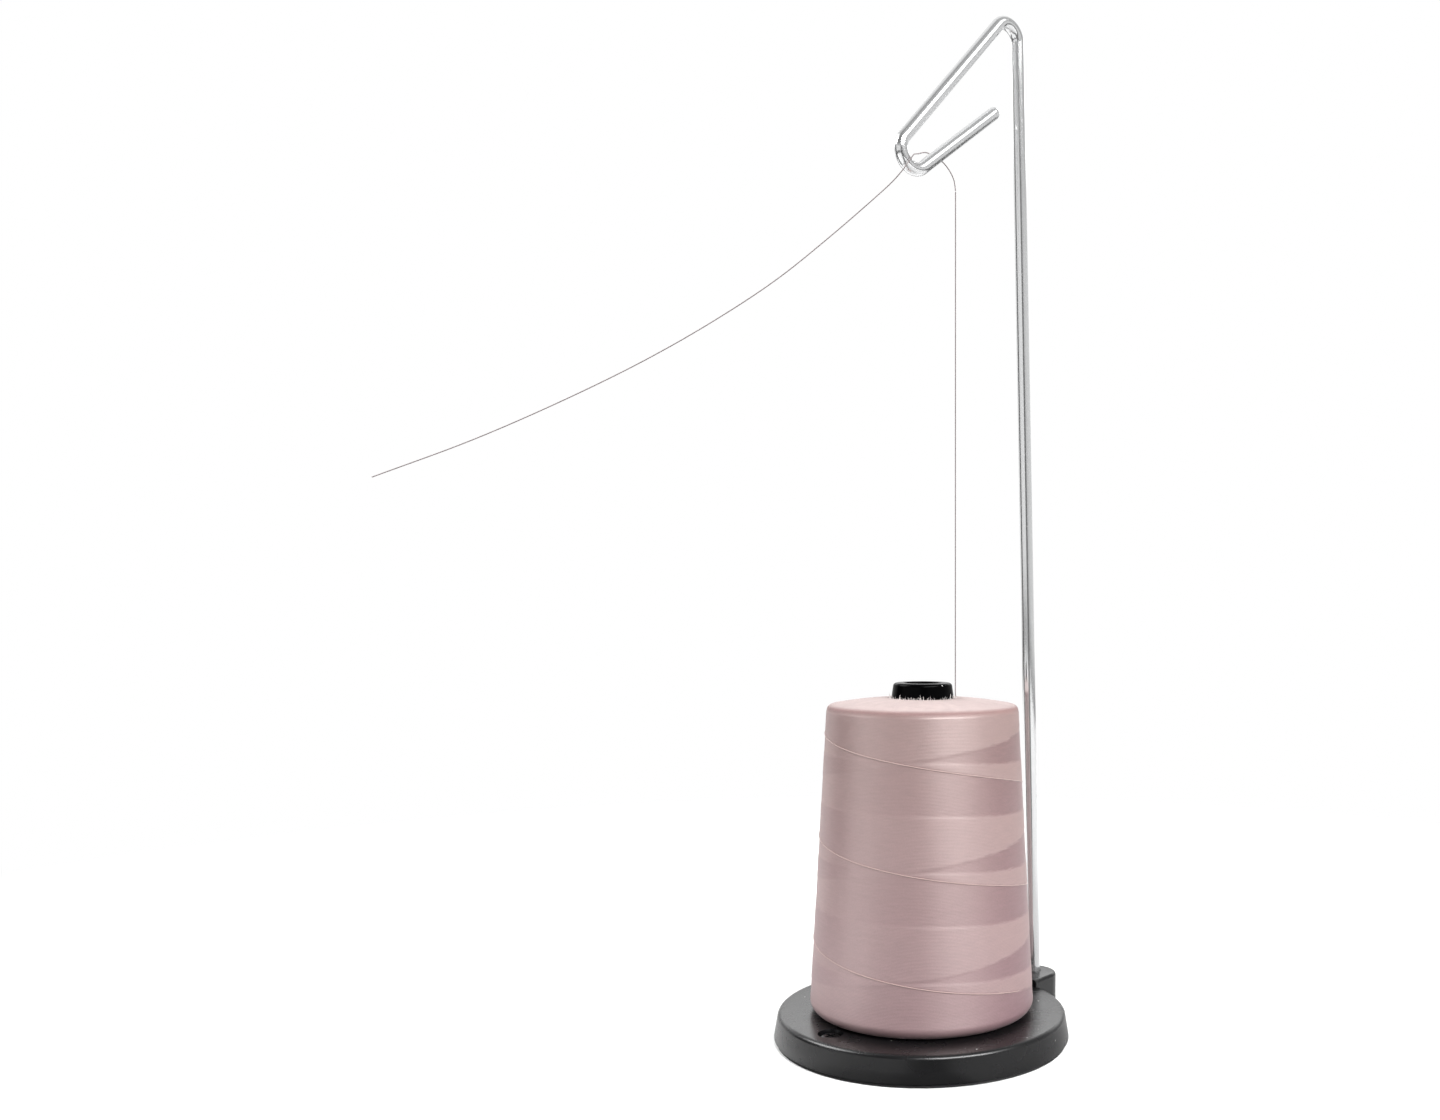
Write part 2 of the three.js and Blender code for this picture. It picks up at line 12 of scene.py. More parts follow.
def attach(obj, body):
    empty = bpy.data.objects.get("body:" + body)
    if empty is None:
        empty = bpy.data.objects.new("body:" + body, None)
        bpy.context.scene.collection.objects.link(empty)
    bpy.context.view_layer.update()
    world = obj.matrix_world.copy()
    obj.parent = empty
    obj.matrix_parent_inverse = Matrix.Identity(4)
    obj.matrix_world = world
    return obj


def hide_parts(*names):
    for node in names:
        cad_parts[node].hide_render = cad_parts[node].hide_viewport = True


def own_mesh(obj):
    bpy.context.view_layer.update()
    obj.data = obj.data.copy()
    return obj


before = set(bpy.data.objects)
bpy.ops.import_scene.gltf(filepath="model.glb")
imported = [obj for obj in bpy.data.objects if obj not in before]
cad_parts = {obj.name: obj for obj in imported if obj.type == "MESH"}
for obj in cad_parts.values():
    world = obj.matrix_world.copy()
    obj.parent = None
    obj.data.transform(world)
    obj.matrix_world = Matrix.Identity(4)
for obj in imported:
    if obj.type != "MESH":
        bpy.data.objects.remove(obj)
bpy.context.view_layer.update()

bl_info = {
    "name": "Thread spool stand",
    "version": (1, 0, 0),
    "blender": (4, 5, 0),
    "location": "3D View > Sidebar > Thread stand",
    "description": "Builds a thread stand with its wound cone, wire guide and free thread",
    "category": "Object",
}

MM = 0.001
TAU = 2 * math.pi
UPWARD = np.array([0, 0, 1.0])

# Small sizes of the base. The holes and posts are given by radius, lowest and highest point
FOOT_EDGE = 0.0003
PAD_STEP = 0.0016
SPINDLE_BORE = 0.00285
SCREW_CIRCLE = 0.039
SCREW_HEAD_HOLE = (0.004, 0.0067, 0.0126)
SCREW_SHANK_HOLE = (0.00185, 0.0041, 0.0069)
SCREW_POST = (0.0055, 0.0051, 0.0072)
WIRE_HOLE = (0.0025, -0.0045, 0.002)

# The lay of the thread: heights that its falling and climbing lines pass, and height and wave of its
# level lines
FALLING, CLIMBING = 0.0883, 0.0980
LEVEL_LINES = ((0.0926, 0.0014), (0.0765, 0.0012))
LAY_SOFTNESS = 24.0

# The free thread's route up to the hook, and through the hook and away
UP_ROUTE = MM * np.array([[27.5, 14.2, 108.4], [15.9, 2.35, 279.2]])
AWAY_ROUTE = MM * np.array([
    [15.88, 2.33, 279.5], [15.4, 2.6, 282.9], [14.0, 2.8, 285.3], [11.4, 3.2, 287.8],
    [8.5, 3.3, 288.9], [5.2, 2.8, 289.2], [2.6, 2.1, 289.0], [0.5, 1.4, 288.3],
    [-2.2, 0.5, 287.1], [-4.6, -0.6, 286.2], [-5.9, -2.0, 285.5], [-7.2, -2.9, 284.6],
    [-9.1, -3.1, 282.3], [-10.8, -2.4, 279.6], [-12.7, 0.2, 276.2], [-16.6, 3.8, 271.3],
    [-28.7, 14.4, 257.4], [-40.7, 24.8, 244.7], [-55.3, 37.5, 231.9], [-72.0, 52.0, 219.2],
    [-91.5, 69.0, 206.4], [-113.5, 88.1, 193.6], [-137.5, 108.9, 181.7]])

# Each soft light: degrees to the right of the camera and above the floor, distance, width and height
LIGHTS = {
    "key": (34, 39.5, 2.2, (1.75, 0.68)),
    "side": (-97, 43, 1.8, (0.9, 0.8)),
    "high": (66, 43, 1.8, (0.9, 0.8)),
    "top": (0, 90, 2.3, (5.0, 5.0)),
}
# As lights, the level of the walls, of the room above them and of the floor, at degrees to the right of
# the camera
WALLS = ((-180, 0.85), (-150, 0.85), (-118, 0.85), (-114, 0.04), (-86, 0.04), (-81, 0.8), (-30, 0.85),
         (-11, 0.82), (-6, 0.03), (17, 0.03), (22, 0.45), (60, 0.6), (110, 0.65), (150, 0.75), (180, 0.85))
SKY = ((-180, 0.85), (-142, 0.85), (-120, 0.42), (-86, 0.42), (-66, 0.4), (-50, 0.06), (-14, 0.08),
       (0, 0.2), (60, 0.3), (120, 0.33), (142, 0.75), (180, 0.85))
NEAR_FLOOR = ((-180, 0.5), (-120, 0.52), (-95, 0.6), (-60, 0.64), (-35, 0.3), (-12, 0.2), (-6, 0.14),
              (16, 0.14), (22, 0.34), (90, 0.4), (150, 0.5), (180, 0.5))
FAR_FLOOR = ((-180, 0.7), (-118, 0.75), (-114, 0.06), (-86, 0.06), (-81, 0.8), (-50, 0.6), (-11, 0.5),
             (-6, 0.06), (16, 0.06), (22, 0.42), (100, 0.5), (150, 0.7), (180, 0.7))

WHITE = (1.0, 1.0, 1.0)
LINT = (0.32, 0.32, 0.31)
GROUPS = {}
FINISHES = {}


# Sizes and colours

def metres(name, description, default):
    """A length among the settings."""
    return FloatProperty(name=name, description=description, default=default, unit="LENGTH")


def degrees(name, description, default):
    """An angle among the settings, whose default is given in degrees."""
    return FloatProperty(name=name, description=description, default=math.radians(default), subtype="ANGLE")


def number(name, description, default, subtype="NONE"):
    """A plain number among the settings."""
    return FloatProperty(name=name, description=description, default=default, subtype=subtype)


def tint(name, description, *default):
    """A colour among the settings."""
    return FloatVectorProperty(name=name, description=description, default=default, subtype="COLOR")


class BaseSettings(bpy.types.PropertyGroup):
    radius: metres("Radius", "At the foot of the side wall", 0.0482)
    height: metres("Height", "Floor to the flat top", 0.0096)
    foot: metres("Foot", "Height of the wall's lower edge", 0.0012)
    draft: degrees("Draft", "Slope of the side wall", 9)
    fillet: metres("Rim fillet", "Rounding of the rim", 0.0016)
    rim_fall: metres("Rim fall", "Drop of the top towards the rim", 0.0002)
    flat_radius: metres("Flat radius", "The top is flat to here", 0.0385)
    wall: metres("Wall", "Thickness of the side wall", 0.0024)
    roof: metres("Top thickness", "Thickness of the top", 0.0027)
    screw_turn: degrees("Screw turn", "Screw holes round from the wire's foot", 3)
    colour: tint("Plastic", "Black moulded plastic", 0.0045, 0.0045, 0.005)
    roughness: number("Roughness", "Of the moulded plastic", 0.27, "FACTOR")


class SocketSettings(bpy.types.PropertyGroup):
    reach: metres("Reach", "Axis of its round end", 0.0522)
    half: metres("Half width", "Radius of its round end", 0.0083)
    top: metres("Top", "Height of its top", 0.0119)
    root: metres("Root", "Its inner face", 0.0438)
    flare: degrees("Flare", "Of each side towards the disc", 10.5)
    fillet: metres("Fillet", "Rounding of its top edge", 0.0012)


class ConeSettings(bpy.types.PropertyGroup):
    foot_radius: metres("Foot radius", "Of the plastic cone", 0.021)
    foot_height: metres("Foot height", "Of the plastic cone", 0.0101)
    neck_radius: metres("Neck radius", "Where the nose leaves the winding", 0.0102)
    neck_height: metres("Neck height", "Where the nose leaves the winding", 0.1116)
    nose_radius: metres("Nose radius", "At the nose's top", 0.0097)
    nose_height: metres("Nose height", "Top of the nose", 0.1163)
    nose_fillet: metres("Nose fillet", "Rounding of the nose", 0.0012)
    hole: metres("Hole", "Radius of the hole in the nose", 0.006)
    edge: metres("Edge", "Rounding of the foot and of the hole", 0.0004)
    wall: metres("Wall", "Thickness of the plastic cone", 0.0015)
    colour: tint("Plastic", "Black moulded plastic", 0.001, 0.001, 0.0012)


class WindingSettings(bpy.types.PropertyGroup):
    low: metres("Foot", "Height of its underside", 0.0099)
    radius: metres("Radius", "At its widest, near the foot", 0.0365)
    corner: metres("Corner", "Rounding at the foot", 0.0036)
    shoulder_radius: metres("Shoulder radius", "At the upper edge", 0.0313)
    shoulder_height: metres("Shoulder height", "Height of the upper edge", 0.1094)
    shoulder_round: metres("Shoulder rounding", "Rounding of the upper edge", 0.002)
    top_rise: metres("Top rise", "From the shoulder to the nose", 0.0019)
    lay_pitch: metres("Lay pitch", "Height between two crossing turns", 0.03317)
    thread_pitch: metres("Thread pitch", "Height between two fine turns", 0.00042)
    # The light and dark thread tones are painted sheen: the thread is one colour, and the bands differ only
    # by how their threads catch the light
    light: tint("Light thread", "Thread where it catches the light", 0.205, 0.11, 0.103)
    dark: tint("Dark thread", "Thread laid the other way", 0.163, 0.086, 0.087)
    # The top colour is paler partly for the fuzzy turns' ends and partly as painted light from above
    ends: tint("Thread on top", "Fuzzy turns on the upper face", 0.355, 0.28, 0.272)
    relief: metres("Relief", "Depth of a band's edge", 0.00008)


class WireSettings(bpy.types.PropertyGroup):
    thick: metres("Thickness", "Of the wire", 0.0044)
    foot: metres("Foot", "From the cone's axis at the socket's top", 0.05295)
    lean: degrees("Lean", "Of the mast towards the cone", 1.88)
    mast: metres("Mast", "Straight length above the socket", 0.32295)
    top_radius: metres("Top bend", "Radius of the top bend", 0.0055)
    top_turn: degrees("Top turn", "Turn of the top bend", 136.9)
    arm: metres("Arm", "Length of the slanting arm", 0.0624)
    low_radius: metres("Low bend", "Radius of the low bend", 0.0057)
    low_turn: degrees("Low turn", "Turn of the low bend", 169.8)
    tip: metres("Tip", "Length of the tip", 0.0401)
    sunk: metres("Sunk", "Depth of its shoulder in the socket", 0.0042)
    stud: metres("Stud", "Thickness of the threaded foot", 0.004)
    colour: tint("Chrome", "Plated wire", 0.8, 0.805, 0.81)


class ThreadSettings(bpy.types.PropertyGroup):
    thick: metres("Thickness", "Of the free thread", 0.0004)
    plies: IntProperty(name="Plies", description="Strands twisted together", default=3)
    twist: metres("Twist", "Length of one turn of the plies", 0.0024)
    colour: tint("Thread", "Colour of the free thread", 0.17, 0.135, 0.135)
    fibres: IntProperty(name="Fibres", description="Loose fibres round the nose", default=150)
    seed: IntProperty(name="Seed", description="Of the loose fibres' places", default=7)


class StageSettings(bpy.types.PropertyGroup):
    distance: metres("Distance", "Camera to the cone's axis", 0.423276)
    height: metres("Height", "Camera above the floor", 0.140829)
    azimuth: degrees("Azimuth", "Camera round the object", -41)
    yaw: degrees("Yaw", "Camera turned to the right", 0.6514)
    pitch: degrees("Pitch", "Camera turned down", 1.5904)
    roll: degrees("Roll", "Camera turned about its axis", 0.1912)
    focal: number("Focal length", "In pixels of a picture 1440 wide", 1296.11)
    centre: FloatVectorProperty(
        name="Centre", description="Pixel that the camera's axis passes through", size=2,
        default=(937.5, 643.6))
    surround: number("Surroundings", "Strength of the studio's walls as a light", 1.0)
    floor: tint("Floor", "Pale floor", 0.95, 0.95, 0.95)
    floor_radius: metres("Floor radius", "Half the pale floor's width", 1.3)
    key: number("Key light", "Radiance of the soft light on the right", 18.8)
    high: number("High light", "Radiance of the small high light on the right", 1.7)
    side: number("Side light", "Radiance of the soft light on the left", 9.8)
    top: number("Top light", "Radiance of the soft light overhead", 0.5)


# Surfaces

def surface(name, grid, loop_u=True, loop_v=False, caps=(False, False), sharp=35):
    """A mesh over a grid of points: each cell between four neighbours is one face. The columns close on
    themselves with loop_u and the rows with loop_v, and a cap is a fan from the mean of an end row."""
    rows, cols = grid.shape[:2]
    cells_v, cells_u = (rows if loop_v else rows - 1), (cols if loop_u else cols - 1)
    i, j = (index.ravel() for index in np.meshgrid(np.arange(cells_v), np.arange(cells_u), indexing="ij"))
    up, across = (i + 1) % rows, (j + 1) % cols
    quads = np.stack([i * cols + j, i * cols + across, up * cols + across, up * cols + j], 1)
    u = np.stack([j, j + 1, j + 1, j], 1) / cells_u
    v = np.stack([i, i, i + 1, i + 1], 1) / cells_v
    points = [grid.reshape(-1, 3)]
    corners, uvs, sizes = [quads.ravel()], [np.stack([u, v], -1).reshape(-1, 2)], [np.full(len(quads), 4)]
    ring = np.arange(cols)
    following = np.roll(ring, -1)
    for end, wanted in enumerate(caps):
        if not wanted:
            continue
        start = (rows - 1) * cols * end
        middle = rows * cols + len(points) - 1
        points.append(grid[-end].mean(0)[None])
        a, b = (ring, following) if end else (following, ring)
        corners.append(np.stack([start + a, start + b, np.full(cols, middle)], 1).ravel())
        flat = np.stack([np.stack([a, b, a], 1) / cols, np.full((cols, 3), float(end))], -1)
        uvs.append(flat.reshape(-1, 2))
        sizes.append(np.full(cols, 3))
    points, corners, uvs, sizes = (np.concatenate(part) for part in (points, corners, uvs, sizes))
    mesh = bpy.data.meshes.new(name)
    mesh.vertices.add(len(points))
    mesh.vertices.foreach_set("co", points.astype(np.float32).ravel())
    mesh.loops.add(len(corners))
    mesh.loops.foreach_set("vertex_index", corners.astype(np.int32))
    mesh.polygons.add(len(sizes))
    mesh.polygons.foreach_set("loop_start", np.concatenate([[0], np.cumsum(sizes)[:-1]]).astype(np.int32))
    mesh.uv_layers.new(name="UVMap").uv.foreach_set("vector", uvs.astype(np.float32).ravel())
    mesh.update(calc_edges=True)
    mesh.validate()
    return smoothed(mesh, sharp)


def smoothed(mesh, sharp):
    """The mesh, smoothly shaded but for edges that turn by more than the given degrees."""
    mesh.polygons.foreach_set("use_smooth", np.ones(len(mesh.polygons), bool))
    mesh.set_sharp_from_angle(angle=math.radians(sharp))
    return mesh


def lathe(profile, columns):
    """A profile of radius and height turned about the vertical axis: x = r cos a, y = r sin a, z = h."""
    angle = TAU * np.arange(columns) / columns
    r, h = profile[:, :1], profile[:, 1:]
    return np.stack([r * np.cos(angle), r * np.sin(angle), h + 0 * angle], -1)


def arc(centre, radius, start, end, count):
    """Points of a circular arc in a profile: centre + radius (cos a, sin a), with a in degrees."""
    a = np.radians(np.linspace(start, end, count))
    return np.stack([centre[0] + radius * np.cos(a), centre[1] + radius * np.sin(a)], 1)


def densified(profile, step):
    """The same profile with points added so that none are further apart than step, for a closed profile."""
    following = np.roll(profile, -1, 0)
    counts = np.maximum(1, np.ceil(np.linalg.norm(following - profile, axis=1) / step).astype(int))
    owner = np.repeat(np.arange(len(profile)), counts)
    first = np.repeat(np.cumsum(counts) - counts, counts)
    share = (np.arange(len(owner)) - first) / np.repeat(counts, counts)
    return profile[owner] + (following - profile)[owner] * share[:, None]


def tube(path, radius, sides, reference, turn=0.0, plies=0):
    """Rings carried along a path: ring i is path_i + r (cos b side_i + sin b over_i), where over is the
    reference direction squared to the path. With plies, r swells plies times round the ring and the
    swelling turns by turn radians from end to end."""
    ahead = np.gradient(path, axis=0)
    ahead /= np.linalg.norm(ahead, axis=1)[:, None]
    over = reference - ahead * (ahead @ reference)[:, None]
    over /= np.linalg.norm(over, axis=1)[:, None]
    side = np.cross(over, ahead)
    b = TAU * np.arange(sides) / sides
    size = np.full((len(path), sides), radius)
    if plies:
        spin = np.linspace(0, turn, len(path))[:, None]
        size = size * (0.84 + 0.16 * np.cos(plies * (b - spin)))
    ring = np.cos(b)[:, None] * side[:, None] + np.sin(b)[:, None] * over[:, None]
    return path[:, None] + size[..., None] * ring


def smooth_route(points, count):
    """A smooth curve through points: a cubic between each two, whose slopes come from their neighbours,
    sampled evenly by length."""
    gap = np.sqrt(np.linalg.norm(np.diff(points, axis=0), axis=1))
    t = np.concatenate([[0], np.cumsum(gap)])
    slope = np.gradient(points, t, axis=0)
    fine = np.linspace(0, t[-1], 40 * len(points))
    k = np.clip(np.searchsorted(t, fine, side="right") - 1, 0, len(t) - 2)
    h = (t[k + 1] - t[k])[:, None]
    s = (fine - t[k])[:, None] / h
    curve = ((1 + 2 * s) * (1 - s) ** 2 * points[k] + s * (1 - s) ** 2 * h * slope[k]
             + s * s * (3 - 2 * s) * points[k + 1] + s * s * (s - 1) * h * slope[k + 1])
    run = np.concatenate([[0], np.cumsum(np.linalg.norm(np.diff(curve, axis=0), axis=1))])
    even = np.linspace(0, run[-1], count)
    return np.stack([np.interp(even, run, curve[:, axis]) for axis in range(3)], 1), run[-1]


def placed(name, data):
    """A new object in the scene."""
    made = bpy.data.objects.new(name, data)
    bpy.context.scene.collection.objects.link(made)
    return made


def show(name, mesh, material, body, slot, *nodes):
    """Puts a mesh into the scene as a piece that rides on a body and stands for some nodes."""
    piece = placed(name, mesh)
    mesh.materials.clear()
    mesh.materials.append(material)
    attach(piece, body)
    if nodes:
        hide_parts(*nodes)
    return piece


def refined(node, material, body, slot, bevel=0.0, sharp=32):
    """A merged, smoothly shaded copy of a node's mesh, with its edges eased by a narrow bevel."""
    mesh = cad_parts[node].data.copy()
    piece = show(f"{node}_fine", mesh, material, body, slot, node)
    merge_points(mesh)
    smoothed(mesh, sharp)
    if bevel:
        ease = piece.modifiers.new("eased_edges", "BEVEL")
        ease.width = bevel
        ease.segments = 2
        ease.limit_method = "ANGLE"
        ease.angle_limit = math.radians(sharp)
        ease.use_clamp_overlap = True
        ease.harden_normals = False


def merge_points(mesh):
    """Joins the corners of loose triangles that share a place."""
    work = bmesh.new()
    work.from_mesh(mesh)
    bmesh.ops.remove_doubles(work, verts=work.verts, dist=2e-6)
    bmesh.ops.dissolve_limit(work, angle_limit=math.radians(0.5), verts=work.verts, edges=work.edges)
    work.to_mesh(mesh)
    work.free()


def cut(mesh, cutters, operation="DIFFERENCE"):
    """The mesh after each cutter has been taken out of it or joined to it."""
    holder = placed("work_piece", mesh)
    tools = [placed(f"work_tool_{index}", cutter) for index, cutter in enumerate(cutters)]
    for tool in tools:
        step = holder.modifiers.new(tool.name, "BOOLEAN")
        step.operation = operation
        step.solver = "EXACT"
        step.object = tool
    made = bpy.data.meshes.new_from_object(holder.evaluated_get(bpy.context.evaluated_depsgraph_get()))
    for thing in [holder, *tools]:
        bpy.data.objects.remove(thing)
    return made


# Shader groups and materials

class Wiring:
    """Adds nodes to a shader tree. Each input is given as a value or as a socket to link."""

    def __init__(self, tree):
        self.tree = tree

    def fill(self, node, inputs):
        """Gives a node its inputs."""
        for key, value in inputs.items():
            socket = node.inputs[key]
            if isinstance(value, bpy.types.NodeSocket):
                self.tree.links.new(value, socket)
            elif socket.type == "RGBA":
                socket.default_value = (*value[:3], 1.0)
            else:
                socket.default_value = value
        return node

    def add(self, kind, inputs=None, **settings):
        """One node, with its settings and inputs."""
        node = self.tree.nodes.new(f"ShaderNode{kind}")
        for key, value in settings.items():
            setattr(node, key, value)
        return self.fill(node, inputs or {})

    def use(self, name, **inputs):
        """The outputs of one of the shared groups."""
        return self.add("Group", inputs, node_tree=GROUPS[name]).outputs

    def maths(self, operation, *values, clamp=False):
        """One Math node's output."""
        return self.add("Math", dict(enumerate(values)), operation=operation, use_clamp=clamp).outputs[0]

    def times(self, a, b, plus=None, clamp=False):
        """a times b, plus a third value where one is given."""
        if plus is None:
            return self.maths("MULTIPLY", a, b)
        return self.maths("MULTIPLY_ADD", a, b, plus, clamp=clamp)

    def split(self, vector):
        """The X, Y and Z of a vector."""
        return self.add("SeparateXYZ", {"Vector": vector}).outputs

    def change(self, value, low, high, start=0.0, end=1.0, kind="SMOOTHSTEP"):
        """A change from start to end while a value goes from low to high."""
        limits = {"Value": value, "From Min": low, "From Max": high, "To Min": start, "To Max": end}
        return self.add("MapRange", limits, interpolation_type=kind).outputs["Result"]

    def mix(self, share, first, second):
        """Two colours mixed by a share."""
        return self.add("Mix", {"Factor": share, "A": first, "B": second}, data_type="RGBA").outputs[2]

    def noise(self, place, scale, detail, roughness=0.5):
        """Noise about 0.5."""
        inputs = {"Vector": place, "Scale": scale, "Detail": detail, "Roughness": roughness}
        return self.add("TexNoise", inputs).outputs[0]

    def ramp(self, share, stops):
        """A grey ramp with a level at each of the given directions."""
        made = self.add("ValToRGB", {"Fac": share})
        line = made.color_ramp.elements
        while len(line) < len(stops):
            line.new(0.5)
        for element, (right, level) in zip(line, stops):
            element.position = (right + 180) / 360
            element.color = (level, level, level, 1.0)
        return made.outputs["Color"]

    def around(self, place, azimuth):
        """A share from 0 to 1 for the directions from -180 to 180 degrees to the right of the camera."""
        x, y, _ = self.split(place)
        return self.maths("FRACT", self.times(self.maths("ARCTAN2", y, x), 1 / TAU, 0.75 - azimuth / TAU))


class Finish(Wiring):
    """A material with one Principled shader, laid out by its Object coordinates."""

    def __init__(self, name, colour, **plain):
        self.material = bpy.data.materials.new(name)
        self.material.use_nodes = True
        self.material.diffuse_color = (*colour, 1.0)
        super().__init__(self.material.node_tree)
        self.shader = self.tree.nodes["Principled BSDF"]
        self.give(Base_Color=colour, **plain)
        self.place = self.add("TexCoord").outputs["Object"]

    def give(self, **inputs):
        """Gives the shader its inputs, in whose names _ stands for a space."""
        self.fill(self.shader, {key.replace("_", " "): value for key, value in inputs.items()})

    def bump(self, height, strength, distance):
        """Feeds a height to the shader's normal."""
        made = self.add("Bump", {"Height": height, "Strength": strength, "Distance": distance})
        self.give(Normal=made.outputs[0])


def dimmed(colour, share):
    """A share of a colour."""
    return tuple(share * c for c in colour)


def group(name, inputs, outputs):
    """The wiring of a new shader group, which takes a vector and named numbers, and its two ends."""
    tree = bpy.data.node_groups.new(name, "ShaderNodeTree")
    tree.interface.new_socket(name="Vector", in_out="INPUT", socket_type="NodeSocketVector")
    for label, default in inputs.items():
        socket = tree.interface.new_socket(name=label, in_out="INPUT", socket_type="NodeSocketFloat")
        socket.default_value = default
    for label in outputs:
        tree.interface.new_socket(name=label, in_out="OUTPUT", socket_type="NodeSocketFloat")
    return Wiring(tree), tree.nodes.new("NodeGroupInput").outputs, tree.nodes.new("NodeGroupOutput")


def grain_group():
    """Fine moulded or plated grain: two sizes of noise give a height, and a slow one changes the gloss."""
    w, given, out = group("surface_grain", {"Scale": 900.0, "Gloss": 0.25, "Change": 0.05},
                          ["Height", "Roughness"])
    fine = w.noise(given["Vector"], given["Scale"], 2.0)
    coarse = w.noise(given["Vector"], w.times(given["Scale"], 0.07), 3.0)
    slow = w.maths("SUBTRACT", coarse, 0.5)
    w.fill(out, {"Height": w.times(coarse, 1.6, fine),
                 "Roughness": w.times(slow, given["Change"], given["Gloss"])})
    return w.tree


def dust_group():
    """Specks of dust and lint: a few cells of a Voronoi pattern, picked by the cells' own colour."""
    w, given, out = group("dust_specks", {"Scale": 420.0, "Size": 0.16, "Amount": 0.2}, ["Mask"])
    cells = w.add("TexVoronoi", {"Vector": given["Vector"], "Scale": given["Scale"]}).outputs
    inside = w.maths("LESS_THAN", cells["Distance"], given["Size"])
    red = w.add("SeparateColor", {"Color": cells["Color"]}).outputs[0]
    w.fill(out, {"Mask": w.times(inside, w.maths("LESS_THAN", red, given["Amount"]))})
    return w.tree


def lay_group():
    """The lay of the wound thread. Four families of lines part the winding into bands: one climbs and one
    falls by the pitch in each turn, and two run level with a slow wave. The tone flips at every line,
    tone = product of clipped sines sin(pi phase). The tone sets the bands' two colours, which are painted
    sheen: the thread is one colour, and the bands differ only by how their threads catch the light. The
    painted sheen shows most on two opposite flanks, by the eighth power of a cosine, and is turned round
    on two others, standing in for threads that lie the two ways and catch the light from opposite sides.
    The fine turns slope one way in a band and the other way in the next: their height is the absolute
    sine of their phase. The streaks are noise drawn out along the thread."""
    pitch = 0.0332
    w, given, out = group("thread_lay", {
        "Pitch": pitch, "Thread": 0.0006, "Softness": LAY_SOFTNESS, "Front": 0.12, "Flank": 1.0,
        "Turned": 0.4}, ["Tone", "Height", "Streak"])
    x, y, z = w.split(given["Vector"])
    angle = w.maths("ARCTAN2", y, x)
    turn = w.maths("DIVIDE", angle, TAU)
    swing = w.maths("COSINE", angle)
    along = w.add("CombineXYZ", {
        "X": w.times(swing, 7.0), "Y": w.times(w.maths("SINE", angle), 7.0), "Z": w.times(z, 1300.0)})
    streak = w.noise(along.outputs[0], 1.0, 3.0, 0.6)
    grain = w.noise(given["Vector"], 2600.0, 2.0)
    level = w.times(w.maths("SUBTRACT", streak, 0.5), 0.002, z)

    def square(height, starts, wave=0.0):
        moved = w.maths("SUBTRACT", level, height)
        if wave:
            moved = w.times(swing, wave, moved)
        phase = w.times(turn, starts, w.maths("DIVIDE", moved, given["Pitch"]))
        steep = w.times(w.maths("SINE", w.times(phase, math.pi)), given["Softness"])
        return w.maths("MAXIMUM", w.maths("MINIMUM", steep, 1.0), -1.0)

    crossed = w.times(square(FALLING + 0.75 * pitch, 1.0), square(CLIMBING - 0.75 * pitch, -1.0))
    tone = w.times(crossed, w.times(*(square(height, 0.0, wave) for height, wave in LEVEL_LINES)))

    def flank(middle):
        near = w.maths("COSINE", w.maths("SUBTRACT", angle, math.radians(middle)))
        return w.maths("POWER", w.times(near, near), 4.0)

    # painted sheen: how strongly the bands show is painted by the angle round the cone, strongest on the
    # flanks at 288 and 108 degrees and turned round at 160 and 340 degrees, fixed to the lights
    shown = w.times(flank(288), given["Flank"], given["Front"])
    shown = w.maths("SUBTRACT", shown, w.times(flank(160), given["Turned"]))
    rows = w.maths("DIVIDE", z, given["Thread"])
    lean = w.times(turn, 16.0)

    def ridges(way):
        return w.maths("ABSOLUTE", w.maths("SINE", w.times(w.maths(way, rows, lean), math.pi)))

    share = w.times(tone, 0.5, 0.5, clamp=True)
    ridge = w.add("Mix", {"Factor": share, "A": ridges("SUBTRACT"), "B": ridges("ADD")}).outputs[0]
    both = w.times(grain, 0.5, w.times(streak, 0.5))
    w.fill(out, {"Tone": w.times(w.times(tone, shown), 0.5, 0.5, clamp=True),
                 "Height": w.times(both, 1.2, ridge), "Streak": both})
    return w.tree


def moulded_plastic(name, colour, gloss, change, scale, relief, dusty, level=0.5):
    """Moulded plastic: fine grain, uneven gloss, and specks of lint that are pale and rough."""
    w = Finish(name, colour, IOR=1.5, Specular_IOR_Level=level)
    grain = w.use("grain", Vector=w.place, Scale=scale, Gloss=gloss, Change=change)
    dust = w.use("dust", Vector=w.place, Scale=480.0, Size=0.13, Amount=dusty)["Mask"]
    w.give(Base_Color=w.mix(dust, colour, LINT),
           Roughness=w.times(dust, 0.4, grain["Roughness"], clamp=True))
    w.bump(grain["Height"], 0.25, relief)
    return w.material


def metal(name, colour, gloss, change, scale, relief):
    """Plated, oxidised or cast metal: grain of a given scale, with gloss that changes slowly."""
    w = Finish(name, colour, Metallic=1.0)
    grain = w.use("grain", Vector=w.place, Scale=scale, Gloss=gloss, Change=change)
    w.give(Base_Color=w.mix(grain["Height"], dimmed(colour, 0.8), colour), Roughness=grain["Roughness"])
    w.bump(grain["Height"], 0.3, relief)
    return w.material


def plated(name, colour):
    """Bright plating on drawn wire, which mirrors and also scatters light, with gloss that changes slowly
    and is a little duller on the hook, where the thread and fingers rub it."""
    w = Finish(name, colour, Metallic=0.88)
    fog = w.noise(w.place, 60.0, 2.0)
    rubbed = w.change(w.split(w.place)["X"], 0.043, 0.036, end=0.05)
    w.give(Base_Color=w.mix(fog, dimmed(colour, 0.95), colour),
           Roughness=w.maths("ADD", w.times(fog, 0.06, rubbed), 0.08))
    return w.material


